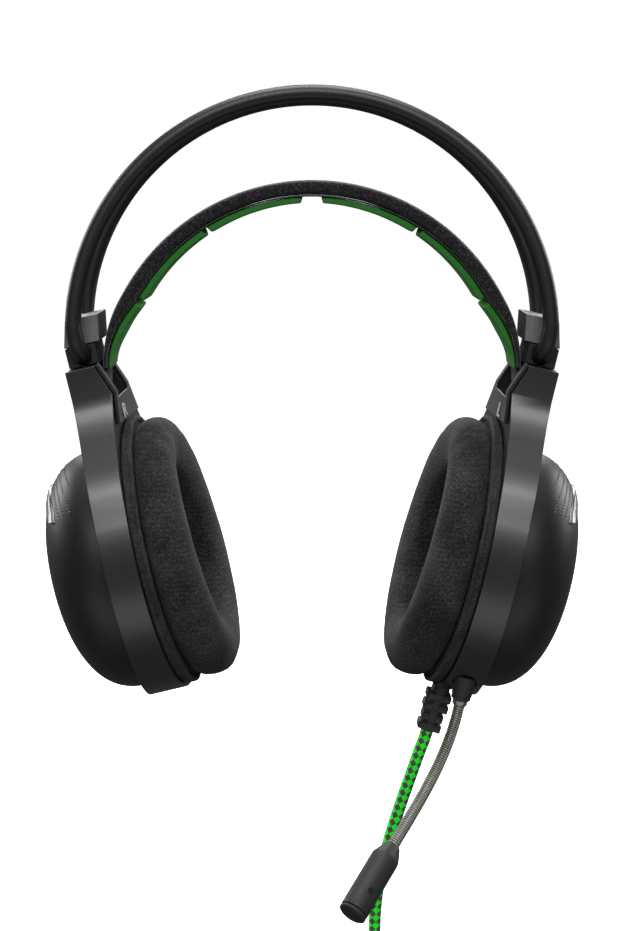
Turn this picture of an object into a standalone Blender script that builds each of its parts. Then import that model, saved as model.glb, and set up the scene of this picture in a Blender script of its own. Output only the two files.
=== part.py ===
"""Gaming headset: twin tube headband, suspended head strap, two closed ear cups with fabric
cushions, a gooseneck microphone and a braided lead. Metres, +Z up.
The origin is the middle of the strap's underside, where the wearer's head carries the headset.
+X is the wearer's left, the side with the microphone and the lead, and -Y is the wearer's front."""

import bpy
import bmesh
import math
from mathutils import Matrix, Vector

MM = 0.001
SHARP_ANGLE = math.radians(40.0)    # edges sharper than this stay crisp
GAP = 0.3 * MM                       # left between pieces that touch

# headband tubes
TUBE_RADIUS = 3.0 * MM
TUBE_SPACING = 38.0 * MM             # between the two tubes' centre lines
TUBE_ARC_RADIUS = 87.7 * MM
TUBE_ARC_CENTRE_Z = -49.3 * MM
TUBE_BEND_RADIUS = 8.0 * MM          # where a tube's end turns in to its pivot
STUB_RADIUS = 2.4 * MM               # the swaged end that turns in the bush
STUB_INNER_Y = 3.5 * MM

# ear cups: each is built in a cup frame, x outwards, y to the rear, z up, leaning by CUP_TILT
CUP_TILT = math.radians(13.6)
EAR_YAW = math.radians(4.3)          # the cushion side faces a little forwards
PIVOT_X = 96.0 * MM                  # cup frame
PIVOT_Z = -37.0 * MM
RING_INNER_X = 88.0 * MM
RING_OUTER_X = 103.0 * MM
RING_CENTRE_Z = -116.0 * MM
RING_HALF_HEIGHT = 52.5 * MM
RING_HALF_DEPTH = 44.0 * MM
RING_WALL = 3.0 * MM
ARM_TOP_Z = -41.0 * MM
ARM_HALF_DEPTH = 21.0 * MM
ARM_STRAIGHT_Z = -52.0 * MM          # below this the arm widens into the ring
CAP_TOP_Z = -22.6 * MM
CAP_HEIGHT = 10.3 * MM
CAP_INNER_X = 87.0 * MM              # clears the strap at its highest with the arm tilted in
ARM_CUT_X = 92.2 * MM                # the arm's top inner corner is cut off from here down to the next
ARM_CUT_Z = -52.5 * MM
COVER_THICKNESS = 1.4 * MM
SHOULDER_Z = -92.0 * MM              # where the arm's flanks meet the ring
DOME_CENTRE_Z = -119.0 * MM
DOME_HALF_HEIGHT = 45.5 * MM
DOME_HALF_DEPTH = 38.5 * MM
DOME_RISE = 26.0 * MM
DOME_WALL = 2.0 * MM
FLANGE_X = 102.8 * MM                # the shell's flange lies inside the ring, flush with its edge
TRIM_CENTRE_Z = -115.0 * MM          # the silver arc let into the shell
TRIM_OUTER = 32.6 * MM
TRIM_INNER = 29.4 * MM
DRIVER_RADIUS = 24.5 * MM            # a 50 mm loudspeaker
CUSHION_BACK_X = 84.8 * MM
CUSHION_FACE_X = 69.9 * MM           # at the cushion's middle height
CUSHION_FACE_SLOPE = 0.055           # the cushion is thicker at the bottom
CUSHION_HALF_HEIGHT = 51.2 * MM
CUSHION_HALF_DEPTH = 43.0 * MM
EAR_HALF_HEIGHT = 29.0 * MM
EAR_HALF_DEPTH = 20.0 * MM

# suspended strap
STRAP_HALF_WIDTH = 14.0 * MM
STRAP_RADIUS = 81.1 * MM             # its upper surface
STRAP_CENTRE_Z = -73.3 * MM
STRAP_ARC_END = math.radians(64.6)
STRAP_END = Vector((77.8 * MM, 0, -64.0 * MM))
PADDING_THICKNESS = 4.9 * MM
PADDING_END = 1.2 * MM               # where it enters the arm
BACKING_THICKNESS = 2.0 * MM
BACKING_END = 0.8 * MM               # and where it enters the arm
PAD_THICKNESS = 2.2 * MM
TAIL_X = 77.1 * MM
TAIL_HALF_WIDTH = 11.0 * MM

# microphone
NECK_RADIUS = 2.3 * MM
NECK_START = Vector((54.5, -24.0, -184.6)) * MM
NECK_END = Vector((28.2, -58.0, -226.3)) * MM
NECK_START_DIRECTION = Vector((-0.20, -0.15, -0.97))
NECK_END_DIRECTION = Vector((-0.51, -0.64, -0.575))
NECK_HANDLE = 20.0 * MM
NECK_SPLITS = (0.0, 0.34, 0.67, 1.0)
NECK_GAP = 0.8 * MM                  # each side of a bending point
CAPSULE_RADIUS = 5.0 * MM
CAPSULE_LENGTH = 29.0 * MM

# volume wheel, in the left cup's frame
WHEEL_RADIUS = 7.0 * MM
WHEEL_CENTRE = Vector((96.3, 38.6, -112.0)) * MM
WHEEL_HALF_THICKNESS = 1.8 * MM

# lead
CORD_RADIUS = 2.4 * MM
RELIEF_TOP = Vector((48.5, -6.0, -185.7)) * MM
RELIEF_LEAN = math.radians(17.6)
RELIEF_LENGTH = 16.0 * MM
LEAD_ROUTE = ((41.2, -6.0, -208.0), (37.9, -6.0, -217.4), (34.4, -6.0, -227.5), (31.0, -6.0, -238.0),
              (27.9, -6.0, -249.0), (25.4, -6.0, -260.0), (24.1, -6.0, -271.0), (23.8, -6.0, -284.0))
COIL_CENTRE = Vector((23.8, -6.0, -318.4)) * MM
COIL_MEAN_RADIUS = 26.5 * MM
COIL_HALF_RADIAL = 7.4 * MM
COIL_HALF_AXIAL = 9.8 * MM
TIE_ANGLE = math.radians(32)
TAIL_ROUTE = ((14.0, -16.4, -289.6), (14.0, -19.0, -289.6), (14.0, -21.8, -290.6), (14.0, -23.6, -293.2),
              (14.0, -24.2, -297.0), (14.0, -24.2, -302.0), (14.0, -24.2, -307.0))
PLUG_RADIUS = 4.2 * MM
PLUG_LENGTH = 24.0 * MM

GREY_PAINT = (0.19, 0.19, 0.19, 0.45, 0.0)
PALE_GREY = (0.33, 0.33, 0.33, 0.40, 0.0)
BLACK_PLASTIC = (0.022, 0.022, 0.022, 0.50, 0.0)
BLACK_GLOSS = (0.012, 0.012, 0.012, 0.25, 0.0)
BLACK_RUBBER = (0.018, 0.018, 0.018, 0.75, 0.0)
BLACK_FABRIC = (0.040, 0.040, 0.042, 0.95, 0.0)
GREEN_FOAM = (0.012, 0.200, 0.014, 0.80, 0.0)
GREEN_BRAID = (0.010, 0.600, 0.010, 0.80, 0.0)
STEEL = (0.45, 0.45, 0.46, 0.30, 1.0)
GOLD = (0.80, 0.58, 0.24, 0.25, 1.0)
NYLON = (0.60, 0.60, 0.57, 0.50, 0.0)
CLEAR_FILM = (0.55, 0.52, 0.45, 0.30, 0.0)
BOARD_GREEN = (0.02, 0.12, 0.05, 0.50, 0.0)


def start_empty():
    for item in list(bpy.data.objects):
        bpy.data.objects.remove(item, do_unlink=True)


def new_collection(name):
    collection = bpy.data.collections.new(name)
    bpy.context.scene.collection.children.link(collection)
    return collection


start_empty()
headset = new_collection("gaming_headset")
cutters = new_collection("headset_cutters")


def material_for(name, look):
    material = bpy.data.materials.new(name)
    material.use_nodes = True
    shader = material.node_tree.nodes["Principled BSDF"]
    shader.inputs["Base Color"].default_value = (look[0], look[1], look[2], 1.0)
    shader.inputs["Roughness"].default_value = look[3]
    shader.inputs["Metallic"].default_value = look[4]
    return material


def evaluated_mesh(item):
    """The item's mesh with its modifiers or curve bevel worked out, its caps welded."""
    graph = bpy.context.evaluated_depsgraph_get()
    graph.update()
    mesh = bpy.data.meshes.new_from_object(item.evaluated_get(graph))
    work = bmesh.new()
    work.from_mesh(mesh)
    bmesh.ops.remove_doubles(work, verts=work.verts, dist=0.00001)
    bmesh.ops.recalc_face_normals(work, faces=work.faces)
    work.to_mesh(mesh)
    work.free()
    return mesh


def settle(item):
    """Replace a curve or an object with modifiers by a plain mesh, and return the mesh."""
    headset.objects.link(item)
    mesh = evaluated_mesh(item)
    bpy.data.objects.remove(item, do_unlink=True)
    return mesh


def add_piece(name, mesh, look, parent, matrix=None, side=1):
    """Make the named sub-part: place its mesh, mirror it for the right side, give its material."""
    if matrix is not None:
        mesh.transform(matrix)
    if side < 0:
        mesh.transform(Matrix.Scale(-1, 4, (1, 0, 0)))
        mesh.flip_normals()
    mesh.name = name
    mesh.shade_smooth()
    mesh.set_sharp_from_angle(angle=SHARP_ANGLE)
    mesh.materials.clear()
    mesh.materials.append(material_for(name, look))
    piece = bpy.data.objects.new(name, mesh)
    headset.objects.link(piece)
    if parent is not None:
        piece.parent = parent
        piece.matrix_parent_inverse = parent.matrix_world.inverted()
    return piece


def add_pivot(name, place):
    pivot = bpy.data.objects.new(name, None)
    pivot.empty_display_size = 0.01
    pivot.location = place
    headset.objects.link(pivot)
    bpy.context.view_layer.update()
    return pivot


def cut(piece, mesh, matrix=None, side=1):
    """Cut the piece with a mesh that is kept as a hidden cutter."""
    if matrix is not None:
        mesh.transform(matrix)
    if side < 0:
        mesh.transform(Matrix.Scale(-1, 4, (1, 0, 0)))
        mesh.flip_normals()
    cutter = bpy.data.objects.new(piece.name + "_cutter", mesh)
    cutter.hide_render = True
    cutter.display_type = "WIRE"
    cutters.objects.link(cutter)
    boolean = piece.modifiers.new("cut", "BOOLEAN")
    boolean.operation = "DIFFERENCE"
    boolean.solver = "EXACT"
    boolean.object = cutter


def box_mesh(low, high):
    work = bmesh.new()
    bmesh.ops.create_cube(work, size=1.0)
    size = Vector(high) - Vector(low)
    middle = (Vector(high) + Vector(low)) / 2
    bmesh.ops.scale(work, vec=size, verts=work.verts)
    bmesh.ops.translate(work, vec=middle, verts=work.verts)
    mesh = bpy.data.meshes.new("box")
    work.to_mesh(mesh)
    work.free()
    return mesh


def rod_mesh(radius, start, end, segments=24, end_radius=None):
    """A round rod, or a cone, between two points."""
    start = Vector(start)
    end = Vector(end)
    work = bmesh.new()
    bmesh.ops.create_cone(work, cap_ends=True, segments=segments, radius1=radius,
                          radius2=radius if end_radius is None else end_radius,
                          depth=(end - start).length)
    turn = (end - start).to_track_quat("Z", "Y").to_matrix().to_4x4()
    bmesh.ops.transform(work, matrix=Matrix.Translation((start + end) / 2) @ turn, verts=work.verts)
    mesh = bpy.data.meshes.new("rod")
    work.to_mesh(mesh)
    work.free()
    return mesh


def flat_mesh(loops, thickness):
    """A filled flat outline in the XY plane, centred on it, as a plain mesh."""
    curve = bpy.data.curves.new("outline", "CURVE")
    curve.dimensions = "2D"
    curve.fill_mode = "BOTH"
    curve.extrude = thickness / 2
    for loop in loops:
        spline = curve.splines.new("POLY")
        spline.points.add(len(loop) - 1)
        for point, place in zip(spline.points, loop):
            point.co = (place[0], place[1], 0, 1)
        spline.use_cyclic_u = True
    return settle(bpy.data.objects.new("outline", curve))


def slab(loops, low, high):
    """Outlines given as (y, z), filled from x = low to x = high."""
    mesh = flat_mesh(loops, high - low)
    mesh.transform(Matrix(((0, 0, 1, (low + high) / 2), (1, 0, 0, 0), (0, 1, 0, 0), (0, 0, 0, 1))))
    return mesh


def side_slab(loops, half_width):
    """Outlines given as (x, z), filled from y = -half_width to y = half_width."""
    mesh = flat_mesh(loops, 2 * half_width)
    mesh.transform(Matrix(((1, 0, 0, 0), (0, 0, -1, 0), (0, 1, 0, 0), (0, 0, 0, 1))))
    return mesh


def tube_mesh(points, radius, resolution=3, radii=None):
    curve = bpy.data.curves.new("tube", "CURVE")
    curve.dimensions = "3D"
    curve.bevel_depth = radius
    curve.bevel_resolution = resolution
    curve.use_fill_caps = True
    spline = curve.splines.new("POLY")
    spline.points.add(len(points) - 1)
    for index, place in enumerate(points):
        spline.points[index].co = (place[0], place[1], place[2], 1)
        if radii:
            spline.points[index].radius = radii[index]
    return settle(bpy.data.objects.new("tube", curve))


def turned_mesh(profile, steps=32):
    """A profile of (radius, height) turned round Z. It runs down its outer side."""
    mesh = bpy.data.meshes.new("profile")
    work = bmesh.new()
    corners = [work.verts.new((radius, 0, height)) for radius, height in profile]
    for first, second in zip(corners, corners[1:]):
        work.edges.new((first, second))
    if profile[0][0] > 0:
        work.edges.new((corners[-1], corners[0]))
    work.to_mesh(mesh)
    work.free()
    item = bpy.data.objects.new("turned", mesh)
    screw = item.modifiers.new("screw", "SCREW")
    screw.steps = steps
    screw.render_steps = steps
    screw.use_merge_vertices = True
    screw.merge_threshold = 0.00001
    return settle(item)


def along(start, direction):
    """The matrix that puts a piece turned round Z on an axis from start along direction."""
    turn = Vector(direction).to_track_quat("Z", "Y").to_matrix().to_4x4()
    return Matrix.Translation(Vector(start)) @ turn


def oval(centre_z, half_height, half_depth, count):
    """Points (y, z) of an oval, going round from its rear."""
    points = []
    for step in range(count):
        angle = 2 * math.pi * step / count
        points.append((half_depth * math.cos(angle), centre_z + half_height * math.sin(angle)))
    return points


def smooth_step(value):
    value = min(max(value, 0.0), 1.0)
    return value * value * (3 - 2 * value)


def bezier(start, start_handle, end_handle, end, share):
    rest = 1 - share
    return (rest ** 3 * start + 3 * rest * rest * share * start_handle
            + 3 * rest * share * share * end_handle + share ** 3 * end)


cup_matrix = Matrix.Rotation(CUP_TILT, 4, "Y")
ear_matrix = (cup_matrix @ Matrix.Translation((RING_INNER_X, 0, 0)) @ Matrix.Rotation(EAR_YAW, 4, "Z")
              @ Matrix.Translation((-RING_INNER_X, 0, 0)))
pivot_place = cup_matrix @ Vector((PIVOT_X, 0, PIVOT_Z))


# ---- headband tubes ----

def tube_route(front):
    """Centre line of a tube from its right stub over the top to its left stub."""
    outer_y = TUBE_SPACING / 2
    half = []
    for step in range(15):
        angle = math.radians(88.5) * step / 14
        half.append(Vector((TUBE_ARC_RADIUS * math.sin(angle), outer_y,
                            TUBE_ARC_CENTRE_Z + TUBE_ARC_RADIUS * math.cos(angle))))
    foot = half[-1].copy()
    drop = foot.z - pivot_place.z
    for step in range(1, 7):
        angle = math.radians(90) * step / 6
        share = step / 6
        half.append(Vector((foot.x + (pivot_place.x - foot.x) * share,
                            outer_y - TUBE_BEND_RADIUS * (1 - math.cos(angle)),
                            foot.z - drop * math.sin(angle))))
    half.append(Vector((pivot_place.x, outer_y - TUBE_BEND_RADIUS - 0.6 * MM, pivot_place.z)))
    half.append(Vector((pivot_place.x, STUB_INNER_Y, pivot_place.z)))
    route = [Vector((-place.x, place.y, place.z)) for place in reversed(half[1:])] + half
    if front:
        route = [Vector((place.x, -place.y, place.z)) for place in route]
    share = STUB_RADIUS / TUBE_RADIUS
    radii = [share, share] + [1.0] * (len(route) - 4) + [share, share]
    return route, radii


def add_tubes():
    for name, front in (("tube_front", True), ("tube_rear", False)):
        route, radii = tube_route(front)
        add_piece(name, tube_mesh(route, TUBE_RADIUS, 2, radii), BLACK_RUBBER, None)


# ---- suspended strap ----

def strap_line():
    """Points and inward normals of the strap's upper surface, from its middle to its left end."""
    line = []
    for step in range(19):
        angle = STRAP_ARC_END * step / 18
        outward = Vector((math.sin(angle), 0, math.cos(angle)))
        line.append((Vector((0, 0, STRAP_CENTRE_Z)) + outward * STRAP_RADIUS, -outward))
    corner = line[-1][0]
    tangent = Vector((math.cos(STRAP_ARC_END), 0, -math.sin(STRAP_ARC_END)))
    handle = 9.0 * MM
    last = corner
    for step in range(1, 9):
        place = bezier(corner, corner + tangent * handle, STRAP_END + Vector((0, 0, handle)),
                       STRAP_END, step / 8)
        run = (place - last).normalized()
        line.append((place, Vector((run.z, 0, -run.x))))
        last = place
    return line


def strap_lengths(line):
    total = 0.0
    lengths = [0.0]
    for first, second in zip(line, line[1:]):
        total += (second[0] - first[0]).length
        lengths.append(total)
    return lengths


def end_share(share):
    """How far the strap has thinned towards its end: 0 over the head, 1 at the arm."""
    return smooth_step((share - 0.70) / 0.28)


def padding_depth(share):
    """Thickness of the padding: full over the head, thin where it enters the arm."""
    return PADDING_THICKNESS - (PADDING_THICKNESS - PADDING_END) * end_share(share)


def strap_band(upper, lower, first=-1.0, last=1.0):
    """Outline of a layer of the strap between two depths, each a function of the share along it."""
    line = strap_line()
    lengths = strap_lengths(line)
    total = lengths[-1]
    top = []
    bottom = []
    samples = [(-length / total, place, normal, -1) for length, (place, normal)
               in reversed(list(zip(lengths, line))[1:])]
    samples += [(length / total, place, normal, 1) for length, (place, normal) in zip(lengths, line)]
    for share, place, normal, mirror in samples:
        if share < first - 0.0001 or share > last + 0.0001:
            continue
        high = place + normal * upper(abs(share))
        low = place + normal * lower(abs(share))
        top.append((mirror * high.x, high.z))
        bottom.append((mirror * low.x, low.z))
    return top + list(reversed(bottom))


def backing_top(share):
    return padding_depth(share) + GAP


def backing_bottom(share):
    return backing_top(share) + BACKING_THICKNESS - (BACKING_THICKNESS - BACKING_END) * end_share(share)


def pad_top(share):
    return backing_bottom(share) + GAP


def pad_bottom(share):
    """The green pads are a little thicker beside the middle of the head, and end in a point."""
    full = PAD_THICKNESS + 0.4 * MM * smooth_step(share / 0.35)
    return pad_top(share) + full - (full - 0.4 * MM) * smooth_step((share - 0.86) / 0.14)


def add_strap(parent):
    padding = strap_band(lambda share: 0.0, padding_depth)
    add_piece("strap_padding", side_slab([padding], STRAP_HALF_WIDTH), BLACK_FABRIC, parent)
    backing = strap_band(backing_top, backing_bottom)
    add_piece("strap_backing", side_slab([backing], STRAP_HALF_WIDTH - 0.5 * MM), BLACK_PLASTIC, parent)
    line = strap_line()
    lengths = strap_lengths(line)
    shares = [length / lengths[-1] for length in lengths]
    runs = (("upper", shares[1] * 0.5, shares[9]), ("middle", shares[9], shares[17]),
            ("lower", shares[17], 1.0))
    for name, first, last in runs:
        for side, side_name in ((1, "left"), (-1, "right")):
            near = first + 0.012
            far = min(last, 1.0) - 0.004
            outline = pad_outline(line, lengths, near, far)
            if side < 0:
                outline = [(-x, z) for x, z in outline]
            add_piece(side_name + "_pad_" + name, side_slab([outline], STRAP_HALF_WIDTH - 1.0 * MM),
                      GREEN_FOAM, parent)
    for side, side_name in ((1, "left"), (-1, "right")):
        top = STRAP_END.z - GAP
        foot = top - 14.0 * MM
        add_piece(side_name + "_strap_tail",
                  box_mesh((TAIL_X - 0.5 * MM, -TAIL_HALF_WIDTH, foot),
                           (TAIL_X + 0.5 * MM, TAIL_HALF_WIDTH, top)),
                  BLACK_FABRIC, parent, side=side)
        add_piece(side_name + "_strap_clip",
                  box_mesh((TAIL_X - 1.3 * MM, -TAIL_HALF_WIDTH - 1.5 * MM, foot - GAP - 2.6 * MM),
                           (TAIL_X + 1.3 * MM, TAIL_HALF_WIDTH + 1.5 * MM, foot - GAP)),
                  BLACK_PLASTIC, parent, side=side)


def strap_sample(line, lengths, distance):
    for index in range(len(lengths) - 1):
        if distance <= lengths[index + 1] + 1e-9:
            break
    part = (distance - lengths[index]) / (lengths[index + 1] - lengths[index])
    place = line[index][0].lerp(line[index + 1][0], part)
    normal = line[index][1].lerp(line[index + 1][1], part).normalized()
    return place, normal


def pad_outline(line, lengths, first, last):
    """A green pad between two shares of the strap, its ends cut back to leave a notch."""
    total = lengths[-1]
    count = 9
    top = []
    bottom = []
    for step in range(count + 1):
        share = first + (last - first) * step / count
        place, normal = strap_sample(line, lengths, share * total)
        inner = pad_bottom(share)
        if step in (0, count) and last < 0.98:
            inner -= 0.9 * MM
        high = place + normal * pad_top(share)
        low = place + normal * inner
        top.append((high.x, high.z))
        bottom.append((low.x, low.z))
    return top + list(reversed(bottom))


# ---- ear cups ----

def arm_outline():
    """The arm's flat top, its flanks and the round ring below, as (y, z)."""
    half = [(ARM_HALF_DEPTH, ARM_TOP_Z), (ARM_HALF_DEPTH, ARM_STRAIGHT_Z)]
    drop = (SHOULDER_Z - RING_CENTRE_Z) / RING_HALF_HEIGHT
    shoulder = RING_HALF_DEPTH * math.sqrt(1 - drop * drop)
    for step in range(1, 8):
        share = step / 8
        depth = ARM_HALF_DEPTH + (shoulder - ARM_HALF_DEPTH) * (0.35 * share + 0.65 * smooth_step(share))
        half.append((depth, ARM_STRAIGHT_Z + (SHOULDER_Z - ARM_STRAIGHT_Z) * share))
    first = math.asin(drop)
    for step in range(22):
        angle = first + (-math.pi / 2 - first) * step / 21
        half.append((RING_HALF_DEPTH * math.cos(angle), RING_CENTRE_Z + RING_HALF_HEIGHT * math.sin(angle)))
    return half + [(-y, z) for y, z in reversed(half[:-1])]


def yaw_shift(y, z):
    """How far the inner face leans forwards: not at all on the arm, fully on the ring."""
    share = min(max((ARM_STRAIGHT_Z - z) / (12 * MM), 0.0), 1.0)
    return math.tan(EAR_YAW) * y * share


def add_arm_frame(side_name, side, parent):
    hole = oval(RING_CENTRE_Z, RING_HALF_HEIGHT - RING_WALL, RING_HALF_DEPTH - RING_WALL, 44)
    mesh = slab([arm_outline(), hole], RING_INNER_X, RING_OUTER_X)
    for corner in mesh.vertices:
        if corner.co.x < (RING_INNER_X + RING_OUTER_X) / 2:
            corner.co.x -= yaw_shift(corner.co.y, corner.co.z)
    frame = add_piece(side_name + "_arm_frame", mesh, GREY_PAINT, parent, cup_matrix, side)
    cut(frame, box_mesh((80 * MM, -14.5 * MM, -63.2 * MM), (100 * MM, 14.5 * MM, -30 * MM)), cup_matrix, side)
    corner = Vector((ARM_CUT_X, ARM_TOP_Z))
    run = Vector((RING_INNER_X, ARM_CUT_Z)) - corner
    above = corner - run * 0.1
    below = corner + run * 3.0
    cut(frame, side_slab([[above, (below.x, above.y), below]], ARM_HALF_DEPTH + 1.0 * MM), cup_matrix, side)
    return frame


def add_pivot_block(side_name, side, parent):
    block = add_piece(side_name + "_pivot_block",
                      box_mesh((91.0 * MM, -11.5 * MM, ARM_TOP_Z + GAP), (102.5 * MM, 11.5 * MM, -33.2 * MM)),
                      BLACK_PLASTIC, parent, cup_matrix, side)
    bore = rod_mesh(3.4 * MM, (PIVOT_X, -20 * MM, PIVOT_Z), (PIVOT_X, 20 * MM, PIVOT_Z), 20)
    cut(block, bore, cup_matrix, side)
    bush = turned_mesh([(3.1 * MM, 6.0 * MM), (3.1 * MM, 0), (2.6 * MM, 0), (2.6 * MM, 6.0 * MM)], 20)
    for name, place in (("_front_bush", -10.0 * MM), ("_rear_bush", 4.0 * MM)):
        axis = along((PIVOT_X, place, PIVOT_Z), (0, 1, 0))
        add_piece(side_name + name, bush.copy(), NYLON, parent, cup_matrix @ axis, side)
    top = CAP_TOP_Z
    foot = CAP_TOP_Z - CAP_HEIGHT
    cap = [(88.9 * MM, foot), (102.6 * MM, foot), (99.8 * MM, top), (CAP_INNER_X, top)]
    add_piece(side_name + "_arm_cap", side_slab([cap], 12.5 * MM), PALE_GREY, parent, cup_matrix, side)


def add_inner_cover(side_name, side, parent):
    """A thin panel over the arm's cut corner and inner face, open where the strap goes in."""
    foot = -63.8 * MM
    corner = Vector((ARM_CUT_X, ARM_TOP_Z))
    bend = Vector((RING_INNER_X, ARM_CUT_Z))
    run = (bend - corner).normalized()
    out = Vector((run.y, -run.x))
    outline = []
    for offset in (GAP, GAP + COVER_THICKNESS):
        top = corner + out * offset
        x = RING_INNER_X - offset
        low = (x, top.y + run.y * (x - top.x) / run.x)
        outline.append([(top.x, top.y), low, (x, foot)])
    mesh = side_slab([outline[0] + list(reversed(outline[1]))], ARM_HALF_DEPTH - 1.0 * MM)
    for place in mesh.vertices:
        place.co.x -= yaw_shift(place.co.y, place.co.z)
    cover = add_piece(side_name + "_inner_cover", mesh, BLACK_PLASTIC, parent, cup_matrix, side)
    cut(cover, box_mesh((80 * MM, -15 * MM, -54.5 * MM), (95 * MM, 15 * MM, -38 * MM)), cup_matrix, side)


def dome_skin(offset, rings=7, spokes=32):
    """Half a squarish ball moved out by offset, open at its rim: the outer shell's outside."""
    work = bmesh.new()
    bmesh.ops.create_uvsphere(work, u_segments=spokes, v_segments=rings * 2, radius=1.0)
    bmesh.ops.bisect_plane(work, geom=work.verts[:] + work.edges[:] + work.faces[:], dist=0.0001,
                           plane_co=(0, 0, 0), plane_no=(0, 0, -1), clear_outer=True)
    for corner in work.verts:
        reach = math.hypot(corner.co.x, corner.co.y)
        rise = abs(1 - reach ** 2.4) ** (1 / 2.4) if reach < 0.9999 else 0.0
        corner.co.z = rise
    place = Matrix(((0, 0, DOME_RISE + offset, FLANGE_X),
                    (DOME_HALF_DEPTH + offset, 0, 0, 0),
                    (0, DOME_HALF_HEIGHT + offset, 0, DOME_CENTRE_Z),
                    (0, 0, 0, 1)))
    bmesh.ops.transform(work, matrix=place, verts=work.verts)
    bmesh.ops.recalc_face_normals(work, faces=work.faces)
    return work


def walled(work, wall):
    """The open skin with a wall of this thickness on its inner side, as a plain mesh."""
    mesh = bpy.data.meshes.new("skin")
    work.to_mesh(mesh)
    work.free()
    item = bpy.data.objects.new("skin", mesh)
    solidify = item.modifiers.new("wall", "SOLIDIFY")
    solidify.thickness = wall
    solidify.offset = -1
    solidify.use_even_offset = True
    return settle(item)


def add_flange(work):
    """Widen the skin's rim to the flat flange that closes the ring."""
    rim = [edge for edge in work.edges if edge.is_boundary]
    widened = bmesh.ops.extrude_edge_only(work, edges=rim)["geom"]
    for corner in widened:
        if isinstance(corner, bmesh.types.BMVert):
            y = corner.co.y / DOME_HALF_DEPTH
            z = (corner.co.z - DOME_CENTRE_Z) / DOME_HALF_HEIGHT
            corner.co.y = y * (RING_HALF_DEPTH - RING_WALL - GAP)
            corner.co.z = RING_CENTRE_Z + z * (RING_HALF_HEIGHT - RING_WALL - GAP)
    bmesh.ops.recalc_face_normals(work, faces=work.faces)


def add_outer_shell(side_name, side, parent):
    work = dome_skin(0.0)
    add_flange(work)
    add_piece(side_name + "_outer_shell", walled(work, DOME_WALL), BLACK_GLOSS, parent, cup_matrix, side)
    arc = []
    for step in range(13):
        angle = math.radians(90 - 48 + 96 * step / 12)
        arc.append((TRIM_OUTER * math.cos(angle), TRIM_CENTRE_Z + TRIM_OUTER * math.sin(angle)))
    for step in range(11):
        angle = math.radians(90 + 42 - 84 * step / 10)
        arc.append((TRIM_INNER * math.cos(angle), TRIM_CENTRE_Z + TRIM_INNER * math.sin(angle)))
    crescent = slab([arc], RING_OUTER_X + 6 * MM, RING_OUTER_X + 40 * MM)
    skin = walled(dome_skin(1.1 * MM), 0.8 * MM)
    body = bpy.data.objects.new("crescent", crescent)
    cutters.objects.link(body)
    layer = bpy.data.objects.new("skin", skin)
    keep = layer.modifiers.new("keep", "BOOLEAN")
    keep.operation = "INTERSECT"
    keep.solver = "EXACT"
    keep.object = body
    trim = settle(layer)
    bpy.data.objects.remove(body, do_unlink=True)
    add_piece(side_name + "_trim_arc", trim, STEEL, parent, cup_matrix, side)


def add_driver(side_name, side, parent):
    plate = slab([oval(RING_CENTRE_Z, RING_HALF_HEIGHT - RING_WALL - 0.5 * MM,
                       RING_HALF_DEPTH - RING_WALL - 0.5 * MM, 40),
                  oval(RING_CENTRE_Z, DRIVER_RADIUS + 0.3 * MM, DRIVER_RADIUS + 0.3 * MM, 32)],
                 89.0 * MM, 91.0 * MM)
    add_piece(side_name + "_baffle", plate, BLACK_PLASTIC, parent, ear_matrix, side)
    centre = Vector((0, 0, RING_CENTRE_Z))
    outwards = (1, 0, 0)
    radius = DRIVER_RADIUS
    basket = turned_mesh([(15.0 * MM, 9.0 * MM), (19.0 * MM, 9.0 * MM), (radius, 3.0 * MM), (radius, 0),
                          (radius - 1.5 * MM, 0), (radius - 1.5 * MM, 2.6 * MM), (18.4 * MM, 7.8 * MM),
                          (15.0 * MM, 7.8 * MM)])
    stack = ear_matrix @ along(centre + Vector((89.0 * MM, 0, 0)), outwards)
    add_piece(side_name + "_driver_basket", basket, BLACK_PLASTIC, parent, stack, side)
    magnet = turned_mesh([(0, 15.0 * MM), (13.0 * MM, 15.0 * MM),
                          (14.5 * MM, 14.0 * MM), (14.5 * MM, 6.0 * MM),
                          (0, 6.0 * MM)])
    add_piece(side_name + "_driver_magnet", magnet, STEEL, parent, stack, side)
    film = turned_mesh([(0, 2.2 * MM), (6.0 * MM, 1.9 * MM), (9.0 * MM, 1.0 * MM), (16.0 * MM, 2.0 * MM),
                        (22.5 * MM, 1.0 * MM), (22.5 * MM, 0.7 * MM), (16.0 * MM, 1.7 * MM),
                        (9.0 * MM, 0.7 * MM), (6.0 * MM, 1.6 * MM), (0, 1.9 * MM)])
    add_piece(side_name + "_diaphragm", film, CLEAR_FILM, parent, stack, side)
    cloth = slab([oval(RING_CENTRE_Z, 42 * MM, 34 * MM, 36)], 87.95 * MM, 88.6 * MM)
    add_piece(side_name + "_driver_cloth", cloth, BLACK_FABRIC, parent, ear_matrix, side)


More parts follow.
